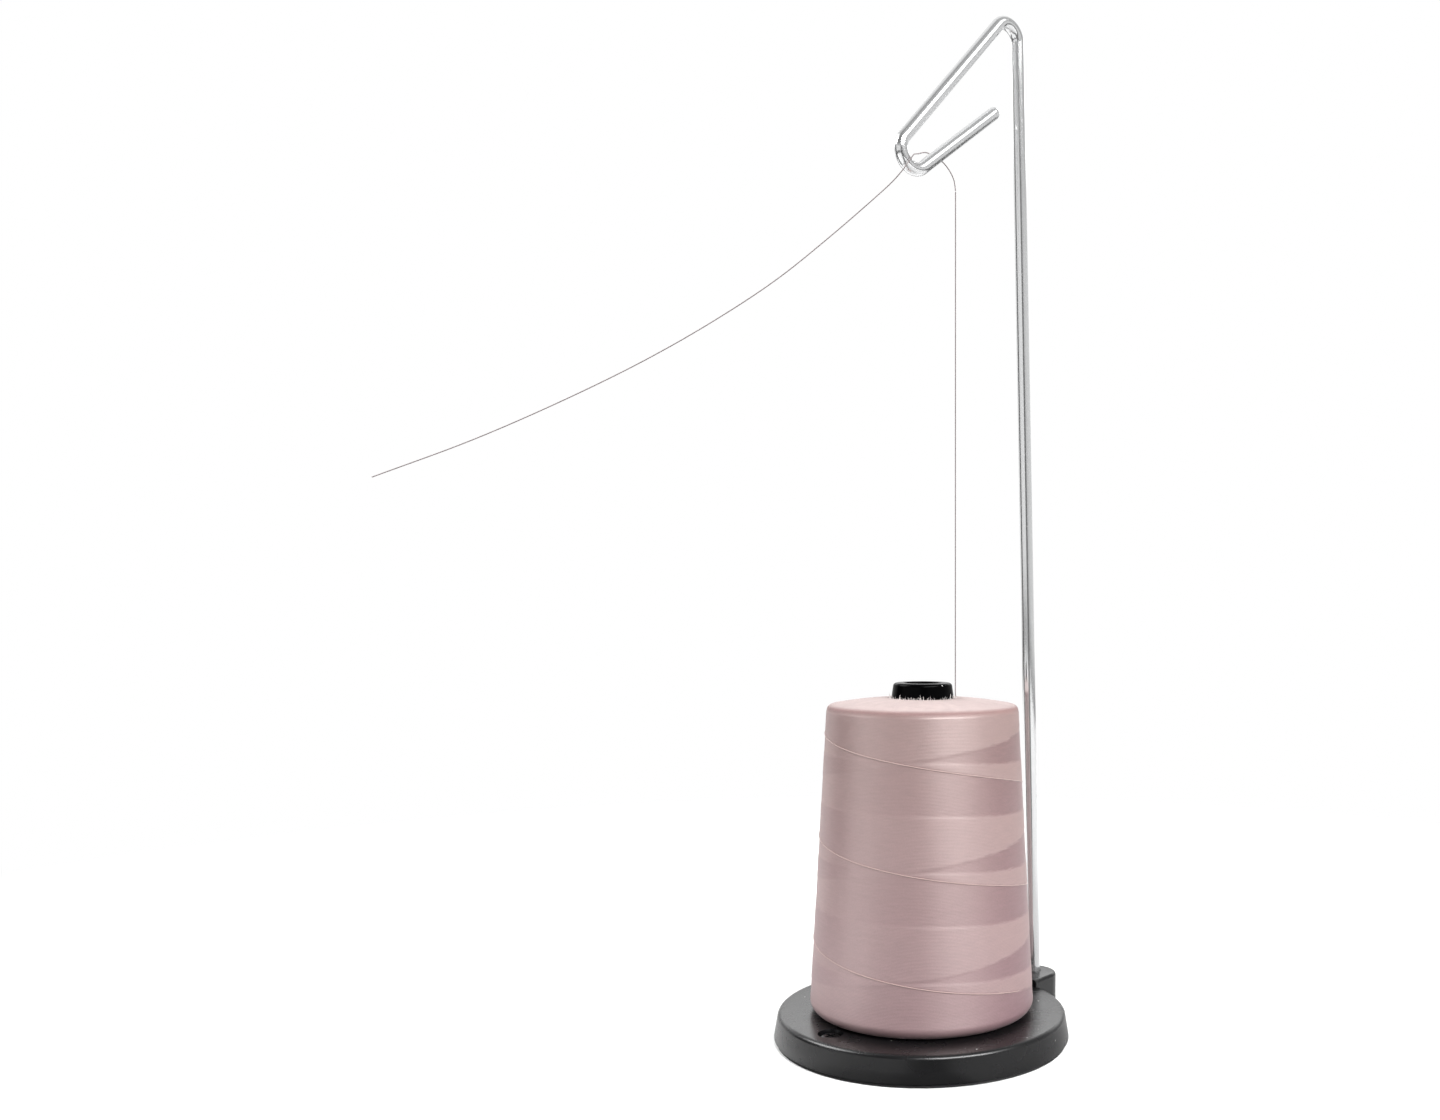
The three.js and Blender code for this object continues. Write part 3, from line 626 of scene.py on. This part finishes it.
def wound_thread(name, s):
    """The winding: two tones of pink by the lay's bands, which are painted sheen, paler towards the foot,
    and paler on top, partly for the fuzzy turns' ends and partly as painted light from above; streaks along
    the turns, and fine ridges. It is duller on top, where the turns' ends are fuzzy."""
    w = Finish(name, s.light, Anisotropic=0.35, Anisotropic_Rotation=0.25, IOR=2.4,
               Specular_Tint=(1.0, 0.9, 0.87), Sheen_Weight=0.1, Sheen_Roughness=0.35)
    lay = w.use("lay", Vector=w.place, Pitch=s.lay_pitch, Thread=s.thread_pitch)
    height = w.split(w.place)["Z"]
    edge = s.shoulder_height
    dulled = w.change(height, edge - 0.0025, edge - 0.0006)
    shine = w.times(w.times(lay["Tone"], 0.5, 0.5), w.times(dulled, -0.5, 1.0))
    # painted sheen: the lay's tone picks the light or the dark thread tone
    bands = w.mix(lay["Tone"], s.dark, s.light)
    # lighter and cooler towards the foot, by height
    paler = w.mix(w.change(height, 0.1, 0.01, kind="LINEAR"), WHITE, (1.25, 1.3, 1.48))
    bands_paled_to_foot = w.add("VectorMath", {0: bands, 1: paler}, operation="MULTIPLY").outputs[0]
    # paler top face: partly the fuzzy turns' ends, partly painted light from above
    ends = w.mix(w.change(height, edge - 0.001, edge + 0.0003), bands_paled_to_foot, s.ends)
    streaked = w.add("VectorMath", {0: ends, "Scale": w.times(lay["Streak"], 0.9, 0.55)}, operation="SCALE")
    tangent = w.add("Tangent", direction_type="UV_MAP", uv_map="UVMap")
    w.give(Base_Color=streaked.outputs[0], Roughness=w.times(dulled, 0.35, 0.5), Specular_IOR_Level=shine,
           Tangent=tangent.outputs[0])
    w.bump(lay["Height"], 0.35, 0.00005)
    return w.material


def twisted_thread(name, colour):
    """Free thread: colour that changes slightly along its length, and fine hair-like grain."""
    w = Finish(name, colour, Roughness=0.55, Sheen_Weight=0.4, Sheen_Roughness=0.4)
    grain = w.use("grain", Vector=w.place, Scale=5200.0, Gloss=0.55, Change=0.1)
    w.give(Base_Color=w.mix(grain["Height"], dimmed(colour, 0.75), colour))
    w.bump(grain["Height"], 0.3, 0.00003)
    return w.material


def finishes(context):
    """Makes the shared groups and all materials once, and gives them by name."""
    if GROUPS:
        return FINISHES
    GROUPS.update(grain=grain_group(), dust=dust_group(), lay=lay_group())
    scene = context.scene
    base, cone = scene.stand_base, scene.stand_cone
    FINISHES.update(
        base=moulded_plastic("satin_black_base", base.colour, base.roughness, 0.1, 1500.0, 0.00002, 0.05),
        cone=moulded_plastic("glossy_black_cone", cone.colour, 0.2, 0.1, 1200.0, 0.00003, 0.04, 0.03),
        cover=moulded_plastic("matte_black_cover", (0.018, 0.018, 0.019), 0.55, 0.1, 2600.0, 0.00006, 0.02),
        pad=moulded_plastic("soft_black_pad", (0.024, 0.024, 0.025), 0.85, 0.08, 1800.0, 0.00009, 0.05),
        nylon=moulded_plastic("natural_nylon", (0.78, 0.75, 0.68), 0.45, 0.1, 1400.0, 0.00003, 0.0),
        iron=metal("raw_cast_iron", (0.11, 0.108, 0.105), 0.62, 0.3, 700.0, 0.0002),
        oxide=metal("black_oxide_steel", (0.07, 0.07, 0.074), 0.34, 0.15, 2400.0, 0.00002),
        zinc=metal("bright_zinc_steel", (0.6, 0.61, 0.63), 0.3, 0.15, 1600.0, 0.00002),
        chrome=plated("plated_wire", scene.stand_wire.colour),
        winding=wound_thread("wound_pink_thread", scene.stand_winding),
        thread=twisted_thread("free_pink_thread", scene.stand_thread.colour),
        # painted highlight: the last turn is the same thread as the winding, coloured lighter as the raised
        # thread catching the light
        turn=twisted_thread("last_pink_turn_highlit", (0.42, 0.3, 0.28)),
        fibre=twisted_thread("loose_fibres", (0.88, 0.84, 0.82)),
    )
    return FINISHES


# Operators

class BuildBase(bpy.types.Operator):
    """The round base: a turned profile of lip, drafted wall, rounded rim, flat top, bore and hollow, with
    the socket tab joined to it and the screw holes and the wire's hole taken out"""
    bl_idname = "thread_stand.base"
    bl_label = "Base"

    def execute(self, context):
        s, tab, wire = context.scene.stand_base, context.scene.stand_socket, context.scene.stand_wire

        def wall(z):
            return s.radius - (z - s.foot) * math.tan(s.draft)

        rim = s.height - s.rim_fall - s.fillet
        rim_radius = wall(rim) - s.fillet
        under = s.height - s.roof
        profile = np.concatenate([
            [[s.radius - s.wall, s.foot]],
            arc((s.radius - FOOT_EDGE, s.foot + FOOT_EDGE), FOOT_EDGE, -90, 0, 4),
            arc((rim_radius, rim), s.fillet, 8, 90, 12),
            [[(s.flat_radius + rim_radius) / 2, s.height - s.rim_fall / 3], [s.flat_radius, s.height],
             [SPINDLE_BORE, s.height], [SPINDLE_BORE, under], [wall(under) - s.wall, under],
             [s.radius - s.wall, s.foot + PAD_STEP]]])
        disc = surface("base_disc", lathe(densified(profile, 0.004), 192), loop_v=True)

        # the socket tab: an outline of its round end and flared sides, drawn in over the top fillet
        turn = math.pi / 2 - tab.flare
        end = np.linspace(-turn, turn, 49)

        def outline(inset, z):
            half = tab.half - inset
            root = half / math.cos(tab.flare) + (tab.reach - tab.root) * math.tan(tab.flare)
            x = np.concatenate([[tab.root], tab.reach + half * np.cos(end), [tab.root]])
            y = np.concatenate([[-root], half * np.sin(end), [root]])
            return np.stack([x, y, np.full(len(x), z)], 1)

        rows = [outline(FOOT_EDGE, s.foot), outline(0, s.foot + FOOT_EDGE)]
        rows += [outline(tab.fillet * (1 - math.cos(b)), tab.top - tab.fillet * (1 - math.sin(b)))
                 for b in np.radians(np.linspace(0, 90, 8))]
        body = surface("base_tab", np.array(rows), caps=(True, True))

        def rod(size, place, sides=48, lean=0.0):
            radius, low, high = size
            x, y, z = np.moveaxis(lathe(np.array([[radius, low], [radius, high]]), sides), -1, 0)
            leant = np.stack([x * math.cos(lean) - z * math.sin(lean), y,
                              z * math.cos(lean) + x * math.sin(lean)], -1)
            return surface("hole", leant + np.array(place), caps=(True, True))

        holes, posts = [], []
        for side in (-SCREW_CIRCLE, SCREW_CIRCLE):
            place = (side * math.cos(s.screw_turn), side * math.sin(s.screw_turn), 0)
            holes += [rod(SCREW_HEAD_HOLE, place), rod(SCREW_SHANK_HOLE, place, 24)]
            posts += [rod(SCREW_POST, place)]
        holes.append(rod(WIRE_HOLE, (wire.foot, 0, tab.top), lean=wire.lean))
        shell = smoothed(cut(cut(disc, [body, *posts], "UNION"), holes), 28)
        shell.name = "base_shell_fine"
        show("base_shell_fine", shell, finishes(context)["base"], "stand", "base_plastic", "base_shell")
        return {"FINISHED"}


class BuildFittings(bpy.types.Operator):
    """The pad, cover, ballast, screws, spindle, seat, washers and nuts: smooth copies with eased edges"""
    bl_idname = "thread_stand.fittings"
    bl_label = "Fittings"

    def execute(self, context):
        f = finishes(context)
        rows = [
            ("non_slip_pad", "pad", "stand", "pad", 0.0002),
            ("bottom_cover", "cover", "stand", "cover_plastic", 0.0),
            ("ballast_disc", "iron", "stand", "ballast_iron", 0.0003),
            ("cover_screw_1", "oxide", "stand", "screw_steel", 0.0),
            ("cover_screw_2", "oxide", "stand", "screw_steel", 0.0),
            ("spindle_nut", "zinc", "stand", "zinc_steel", 0.00015),
            ("spindle_lock_washer", "zinc", "stand", "zinc_steel", 0.0001),
            ("spindle", "zinc", "stand", "zinc_steel", 0.0001),
            ("thrust_washer", "nylon", "stand", "nylon", 0.0001),
            ("cone_seat", "cone", "seat", "cone_plastic", 0.0002),
            ("retaining_ring", "oxide", "stand", "screw_steel", 0.00008),
            ("wire_washer", "zinc", "stand", "zinc_steel", 0.0001),
            ("wire_nut", "zinc", "stand", "zinc_steel", 0.00015),
        ]
        for node, look, body, slot, bevel in rows:
            refined(node, f[look], body, slot, bevel)
        return {"FINISHED"}


class BuildCone(bpy.types.Operator):
    """The plastic cone: a closed turned profile of thin taper, rounded nose and the hole in its deck"""
    bl_idname = "thread_stand.cone"
    bl_label = "Cone"

    def execute(self, context):
        s = context.scene.stand_cone
        deck = s.nose_height - s.wall
        profile = np.concatenate([
            [[s.foot_radius - s.wall, s.foot_height], [s.foot_radius - s.edge, s.foot_height],
             [s.foot_radius, s.foot_height + s.edge], [s.neck_radius, s.neck_height]],
            arc((s.nose_radius - s.nose_fillet, s.nose_height - s.nose_fillet), s.nose_fillet, 0, 90, 14),
            arc((s.hole + s.edge, s.nose_height - s.edge), s.edge, 90, 180, 6),
            [[s.hole, deck], [s.nose_radius - s.wall, deck], [s.neck_radius - s.wall, s.neck_height]]])
        mesh = surface("cone_core_fine", lathe(densified(profile, 0.006), 128), loop_v=True)
        show("cone_core_fine", mesh, finishes(context)["cone"], "cone", "cone_plastic", "cone_core")
        return {"FINISHED"}


def winding_side(s, z):
    """Radius of the winding's slanting side at a height."""
    slope = (s.radius - s.shoulder_radius) / (s.shoulder_height - s.low - s.corner)
    return np.minimum(s.radius, s.radius - slope * (z - s.low - s.corner))


def lay_tone(s, angle, z):
    """The lay's tone at a place, from -1 to 1, as the shader group gives it."""
    turn = angle / TAU + 0.25
    phases = [(z - FALLING) / s.lay_pitch + turn, (z - CLIMBING) / s.lay_pitch - turn]
    phases += [(z - height + wave * np.cos(angle)) / s.lay_pitch for height, wave in LEVEL_LINES]
    return np.prod([np.clip(LAY_SOFTNESS * np.sin(math.pi * phase), -1, 1)
                    for phase in np.broadcast_arrays(*phases)], 0)


class BuildWinding(bpy.types.Operator):
    """The wound thread: a closed turned profile with rounded foot and shoulder, whose side steps in and
    out at the edges of the crossing bands, by the lay's tone"""
    bl_idname = "thread_stand.winding"
    bl_label = "Winding"

    def execute(self, context):
        s, core = context.scene.stand_winding, context.scene.stand_cone
        taper = (core.foot_radius - core.neck_radius) / (core.neck_height - core.foot_height)

        def inner(z):
            clear = 0.0001
            return core.foot_radius - taper * (z - core.foot_height) + clear

        r, top = s.shoulder_round, s.shoulder_height
        neck = top + s.top_rise
        crown = np.linspace(0, 1, 40)[1:]
        crown_z = top + s.top_rise * (1 - (1 - crown) ** 1.8)
        crown_r = (s.shoulder_radius - r) + (inner(neck) - s.shoulder_radius + r) * crown
        side = np.linspace(s.low + s.corner, top - r, 330)[1:-1]
        bore = np.linspace(neck, s.low, 8)[1:-1]
        profile = np.concatenate([
            np.stack([np.linspace(inner(s.low), s.radius - s.corner, 10)[:-1], np.full(9, s.low)], 1),
            arc((s.radius - s.corner, s.low + s.corner), s.corner, -90, 0, 26),
            np.stack([winding_side(s, side), side], 1),
            arc((s.shoulder_radius - r, top - r), r, 0, 90, 10),
            np.stack([crown_r, crown_z], 1),
            np.stack([inner(bore), bore], 1)])
        columns = 216
        grid = lathe(profile, columns)
        angle = TAU * np.arange(columns)[None] / columns
        radius, z = profile[:, :1], profile[:, 1:]

        # the relief is kept to the outer side, and fades out towards foot and shoulder
        outside = np.clip((radius - 0.8 * winding_side(s, z)) / (0.15 * s.radius), 0, 1)
        fade = np.clip((z - s.low - 0.003) / 0.004, 0, 1) * np.clip((top - 0.003 - z) / 0.003, 0, 1)
        grown = s.relief * (lay_tone(s, angle, z) - 1) * 0.5 * outside * fade
        grid[..., 0] += grown * np.cos(angle)
        grid[..., 1] += grown * np.sin(angle)
        mesh = surface("wound_thread", grid, loop_v=True, sharp=60)
        show("wound_thread", mesh, finishes(context)["winding"], "cone", "pink_thread", "thread_winding")
        return {"FINISHED"}


class BuildLastTurns(bpy.types.Operator):
    """The thread's last turns: one twisted thread on a helix that falls by the lay pitch in each turn,
    r = side(z), z = foot - pitch a / turn, half sunk in the winding, up to where the free thread leaves"""
    bl_idname = "thread_stand.last_turns"
    bl_label = "Last turns"

    def execute(self, context):
        s = context.scene.stand_winding
        foot = UP_ROUTE[0]
        turns, half_thick, proud = 2.72, 0.00013, 0.00004
        back = np.linspace(turns * TAU, 0, 900)
        angle = math.atan2(foot[1], foot[0]) + back
        fall = FALLING - s.lay_pitch * (angle - math.radians(270)) / TAU
        fall = fall - (fall[-1] - (foot[2] - 0.0004)) * np.clip(1 - back / 1.2, 0, 1) ** 2
        radius = winding_side(s, fall) + proud
        end = math.hypot(foot[0], foot[1]) - 0.0001
        radius = radius + (end - radius[-1]) * np.clip(1 - back / 0.5, 0, 1) ** 2
        path = np.stack([radius * np.cos(angle), radius * np.sin(angle), fall], 1)
        mesh = surface("last_turns", tube(path, half_thick, 8, UPWARD), caps=(True, True), sharp=80)
        show("last_turns", mesh, finishes(context)["turn"], "cone", "pink_thread", "outer_turns")
        return {"FINISHED"}


class BuildFibres(bpy.types.Operator):
    """Loose fibres: short bowed hairs that stand round the foot of the nose on the winding's top, each
    x = start + along t + up h sin(pi t / 2), in rings of three points"""
    bl_idname = "thread_stand.fibres"
    bl_label = "Loose fibres"

    def execute(self, context):
        s, wind, core = context.scene.stand_thread, context.scene.stand_winding, context.scene.stand_cone
        chance = np.random.default_rng(s.seed)
        count, rings, sides = s.fibres, 6, 3
        clear, half_thick = 0.00012, 0.00007
        angle = chance.uniform(0, TAU, count)
        start_radius = core.neck_radius + chance.uniform(0.0003, 0.0009, count)
        reach = chance.uniform(0.0001, 0.0005, count)
        heading = angle + chance.uniform(-2.2, 2.2, count)
        high = chance.uniform(0.0004, 0.001, count) * np.where(chance.random(count) < 0.15, 1.9, 1.0)
        foot = np.full(count, wind.shoulder_height + wind.top_rise - 0.0001)
        t = np.linspace(0, 1, rings)
        start = np.stack([start_radius * np.cos(angle), start_radius * np.sin(angle), foot], 1)
        along = np.stack([np.cos(heading), np.sin(heading), np.zeros(count)], 1) * reach[:, None]
        path = (start[:, None] + along[:, None] * t[None, :, None]
                + UPWARD * (high[:, None] * np.sin(0.5 * math.pi * t))[..., None])

        # each fibre is moved out of the nose, and then gets its rings
        far = np.hypot(path[..., 0], path[..., 1])[..., None]
        path[..., :2] += path[..., :2] / far * np.maximum(0, core.neck_radius + clear - far)
        b = TAU * np.arange(sides) / sides
        ring = np.stack([np.cos(b), np.sin(b), 0.3 * np.sin(b)], 1)
        grid = path[:, :, None] + (half_thick * (1 - 0.6 * t))[None, :, None, None] * ring[None, None]
        one = np.array([(i * 3 + j, i * 3 + (j + 1) % 3, i * 3 + 3 + (j + 1) % 3, i * 3 + 3 + j)
                        for i in range(rings - 1) for j in range(sides)])
        ends = np.array([(0, 2, 1), (15, 16, 17)])
        shift = (np.arange(count) * rings * sides)[:, None, None]
        mesh = bpy.data.meshes.new("loose_fibres")
        faces = (one[None] + shift).reshape(-1, 4).tolist() + (ends[None] + shift).reshape(-1, 3).tolist()
        mesh.from_pydata(grid.reshape(-1, 3).tolist(), [], faces)
        mesh.update()
        show("loose_fibres", mesh, finishes(context)["fibre"], "cone", "pink_thread")
        return {"FINISHED"}


def way(heading):
    """The direction of a heading in the wire's plane."""
    return np.array([math.cos(heading), math.sin(heading)])


class BuildWire(bpy.types.Operator):
    """The hooked wire: one ring carried along a mast, a top bend, a slanting arm, a low bend and a tip.
    Each straight keeps its heading and each bend turns it evenly on its radius. The tip is a dome, where
    the ring's radius falls as the square root of 1 - t squared, and the foot steps down to its stud"""
    bl_idname = "thread_stand.wire"
    bl_label = "Wire guide"

    def execute(self, context):
        s, tab = context.scene.stand_wire, context.scene.stand_socket
        half, edge, sides = s.thick / 2, 0.0003, 48
        heading = start = math.pi / 2 + s.lean
        place = np.array([s.foot, tab.top]) - s.sunk * way(start)

        # the route in its plane: length or radius of each part, its turn, and its steps
        parts = [(s.sunk + s.mast, 0, 60), (s.top_radius, s.top_turn, 64), (s.arm, 0, 24),
                 (s.low_radius, s.low_turn, 72), (s.tip, 0, 24)]
        points, headings = [place[None]], [[heading]]
        for size, turn, steps in parts:
            t = np.linspace(0, 1, steps + 1)[1:]
            turned = heading + turn * t
            if turn:
                centre = place + size * way(heading + math.pi / 2)
                new = centre + size * np.stack([np.sin(turned), -np.cos(turned)], 1)
            else:
                new = place + size * t[:, None] * way(heading)
            heading, place = heading + turn, new[-1]
            points.append(new)
            headings.append(turned)

        # the domed tip, and the stud under the wire's shoulder
        flat = np.concatenate(points)
        dome = np.sin(np.linspace(0, math.pi / 2, 12))[1:]
        depth = np.array([0.0045, 0.0043, edge, 0.0, 0.0])
        stud = s.stud / 2
        size = np.concatenate([[stud - edge, stud, stud, stud, half - 0.0002], np.full(len(flat), half),
                               half * np.sqrt(np.maximum(1 - dome ** 2, 0.0004))])
        flat = np.concatenate([flat[0] - depth[:, None] * way(start), flat,
                               flat[-1] + 0.98 * half * dome[:, None] * way(heading)])
        headings = np.concatenate([np.full(len(depth), start), *headings, np.full(len(dome), heading)])
        b = TAU * np.arange(sides) / sides
        none = np.zeros(len(flat))
        across = np.stack([np.sin(headings), none, -np.cos(headings)], 1)
        ring = np.cos(b)[None, :, None] * across[:, None] + np.sin(b)[None, :, None] * np.array([0, 1.0, 0])
        grid = np.stack([flat[:, 0], none, flat[:, 1]], 1)[:, None] + size[:, None, None] * ring
        mesh = surface("guide_wire", grid, caps=(True, True), sharp=50)
        show("guide_wire", mesh, finishes(context)["chrome"], "stand", "wire_chrome", "hooked_wire")
        return {"FINISHED"}


class BuildThread(bpy.types.Operator):
    """The free thread: three plies twisted on a smooth route, r = r0 (0.84 + 0.16 cos 3 (b - twist)), from
    the winding's shoulder up to the hook, and from there through the hook and away to its bare end"""
    bl_idname = "thread_stand.thread"
    bl_label = "Free thread"

    def execute(self, context):
        s = context.scene.stand_thread
        low, high = UP_ROUTE
        across = np.array([0.656, 0.755, 0.0])

        def cord(node, path, length):
            name = f"{node}_fine"
            grid = tube(path, s.thick / 2, 9, across, TAU * length / s.twist, s.plies)
            mesh = surface(name, grid, caps=(True, True), sharp=80)
            piece = show(name, mesh, finishes(context)["thread"], "stand", "pink_thread", node)
            return piece

        up = low + np.linspace(0, 1, 560)[:, None] * (high - low)
        rising = cord("thread_up", up, np.linalg.norm(high - low))
        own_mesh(rising)
        away, length = smooth_route(AWAY_ROUTE, 780)
        cord("thread_away", away, length)
        return {"FINISHED"}


class BuildStage(bpy.types.Operator):
    """The stage: a pale floor, a surround that is white to the camera, four soft lights and the camera"""
    bl_idname = "thread_stand.stage"
    bl_label = "Stage"

    def execute(self, context):
        s, scene = context.scene.stand_stage, context.scene
        self.camera(s, scene)
        disc = lathe(np.array([[s.floor_radius, 0.0], [s.floor_radius / 2, 0.0]]), 96)
        floor = placed("floor", surface("floor", disc, caps=(False, True)))
        floor.data.materials.append(self.paper(s))
        scene.world = scene.world or bpy.data.worlds.new("surround")
        scene.world.use_nodes = True
        self.surround(scene.world.node_tree, s)
        for name, setup in LIGHTS.items():
            self.light(name, getattr(s, name), s.azimuth, *setup)
        bpy.data.objects["top_light"].visible_glossy = False
        scene.view_settings.view_transform = "Standard"
        scene.view_settings.look = "None"
        return {"FINISHED"}

    def paper(self, s):
        """Pale floor paper with a faint grain, which fades into the white surround away from the object. As
        a light it is dimmer than the camera sees it, with a strength for each direction near and far."""
        w = Finish("pale_floor", s.floor, Roughness=0.8, Specular_IOR_Level=0.1)
        grain = w.use("grain", Vector=w.place, Scale=300.0, Gloss=0.8, Change=0.1)
        w.give(Base_Color=w.mix(grain["Height"], dimmed(s.floor, 0.99), s.floor))
        length = w.add("VectorMath", {0: w.place}, operation="LENGTH").outputs["Value"]
        share = w.around(w.place, s.azimuth)
        level = w.mix(w.change(length, 0.16, 0.3), w.ramp(share, NEAR_FLOOR), w.ramp(share, FAR_FLOOR))
        dull = w.add("BsdfDiffuse", {"Color": level})
        white = w.add("Emission", {"Color": WHITE, "Strength": 1.0})
        seen = w.add("MixShader", {0: w.change(length, 0.25, 0.55), 1: w.shader.outputs[0],
                                   2: white.outputs[0]})
        ray = w.add("LightPath").outputs["Is Camera Ray"]
        both = w.add("MixShader", {0: ray, 1: dull.outputs[0], 2: seen.outputs[0]})
        w.fill(w.tree.nodes["Material Output"], {"Surface": both.outputs[0]})
        return w.material

    def surround(self, tree, s):
        """White to the camera. As a light, the walls have a strength for each direction round the object,
        read from a ramp over the angle from the camera, and little comes from below the floor."""
        tree.nodes.clear()
        w = Wiring(tree)
        heading = w.add("TexCoord").outputs["Generated"]
        share = w.around(heading, s.azimuth)
        z = w.split(heading)["Z"]
        wall = w.mix(w.change(z, 0.2, 0.42), w.ramp(share, WALLS), w.ramp(share, SKY))
        above = w.change(z, -0.09, -0.02, 0.04, s.surround)

        # a brighter strip on the wall behind, which the base's top mirrors and the mast doesn't
        strip = w.times(w.change(z, 0.3, 0.34), w.change(z, 0.42, 0.46, 1.0, 0.0))
        behind = w.change(w.maths("ABSOLUTE", w.maths("SUBTRACT", share, 0.5)), 0.34, 0.42)
        strength = w.times(above, w.times(w.times(strip, behind), 2.6, 1.0))
        lit = w.add("Background", {"Color": wall, "Strength": strength})
        seen = w.add("Background", {"Color": WHITE, "Strength": 1.0})
        ray = w.add("LightPath").outputs["Is Camera Ray"]
        both = w.add("MixShader", {0: ray, 1: lit.outputs[0], 2: seen.outputs[0]})
        w.add("OutputWorld", {"Surface": both.outputs[0]})

    def camera(self, s, scene):
        """Puts the camera where the picture was taken from, with the same centre and focal length."""
        width, height, sensor = 1440, 1120, 36.0
        spin = Matrix.Rotation(s.azimuth, 3, "Z")
        level = Vector((math.sin(s.yaw), math.cos(s.yaw), 0))
        right = Vector((math.cos(s.yaw), -math.sin(s.yaw), 0))
        ahead = level * math.cos(s.pitch) - Vector((0, 0, 1)) * math.sin(s.pitch)
        up = level * math.sin(s.pitch) + Vector((0, 0, 1)) * math.cos(s.pitch)
        across = right * math.cos(s.roll) + up * math.sin(s.roll)
        over = up * math.cos(s.roll) - right * math.sin(s.roll)
        turned = spin @ Matrix((across, over, -ahead)).transposed()
        lens = bpy.data.cameras.new("camera")
        lens.sensor_fit = "HORIZONTAL"
        lens.sensor_width = sensor
        lens.lens = sensor * s.focal / width
        lens.shift_x = (width / 2 - s.centre[0]) / width
        lens.shift_y = (s.centre[1] - height / 2) / width
        lens.clip_start = 0.01
        scene.camera = placed("camera", lens)
        at = spin @ Vector((0, -s.distance, s.height))
        scene.camera.matrix_world = Matrix.Translation(at) @ turned.to_4x4()

    def light(self, name, radiance, azimuth, right, rise, distance, size):
        """A soft light at an angle to the camera's right, aimed at the cone's middle."""
        lamp = placed(f"{name}_light", bpy.data.lights.new(f"{name}_light", "AREA"))
        lamp.data.shape = "RECTANGLE"
        lamp.data.size, lamp.data.size_y = size
        lamp.data.energy = radiance * math.pi * size[0] * size[1]
        around, rise = math.radians(right) + azimuth, math.radians(rise)
        toward = Vector((math.sin(around) * math.cos(rise), -math.cos(around) * math.cos(rise),
                         math.sin(rise)))
        lamp.location = Vector((0, 0, 0.08)) + toward * distance
        lamp.rotation_euler = toward.to_track_quat("Z", "Y").to_euler()


class StandPanel(bpy.types.Panel):
    """Lists the stand's pieces and settings"""
    bl_idname = "VIEW3D_PT_thread_stand"
    bl_label = "Thread stand"
    bl_space_type = "VIEW_3D"
    bl_region_type = "UI"
    bl_category = "Thread stand"

    def draw(self, context):
        for name, operators in PARTS.items():
            box = self.layout.box()
            for operator in operators:
                box.operator(operator.bl_idname)
            settings = getattr(context.scene, name)
            for field in type(settings).__annotations__:
                box.prop(settings, field)


SETTINGS = {
    "stand_base": BaseSettings, "stand_socket": SocketSettings, "stand_cone": ConeSettings,
    "stand_winding": WindingSettings, "stand_wire": WireSettings, "stand_thread": ThreadSettings,
    "stand_stage": StageSettings,
}
PARTS = {
    "stand_stage": [BuildStage], "stand_base": [BuildBase], "stand_socket": [BuildFittings],
    "stand_cone": [BuildCone], "stand_winding": [BuildWinding, BuildLastTurns],
    "stand_wire": [BuildWire], "stand_thread": [BuildThread, BuildFibres],
}
OPERATORS = [operator for part in PARTS.values() for operator in part]


def register():
    for cls in [*SETTINGS.values(), *OPERATORS, StandPanel]:
        bpy.utils.register_class(cls)
    for name, cls in SETTINGS.items():
        setattr(bpy.types.Scene, name, PointerProperty(type=cls))


def unregister():
    for name in SETTINGS:
        delattr(bpy.types.Scene, name)
    for cls in reversed([*SETTINGS.values(), *OPERATORS, StandPanel]):
        bpy.utils.unregister_class(cls)


def main():
    """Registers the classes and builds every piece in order."""
    register()
    finishes(bpy.context)
    for operator in OPERATORS:
        area, name = operator.bl_idname.split(".")
        getattr(getattr(bpy.ops, area), name)()


if __name__ == "__main__":
    main()
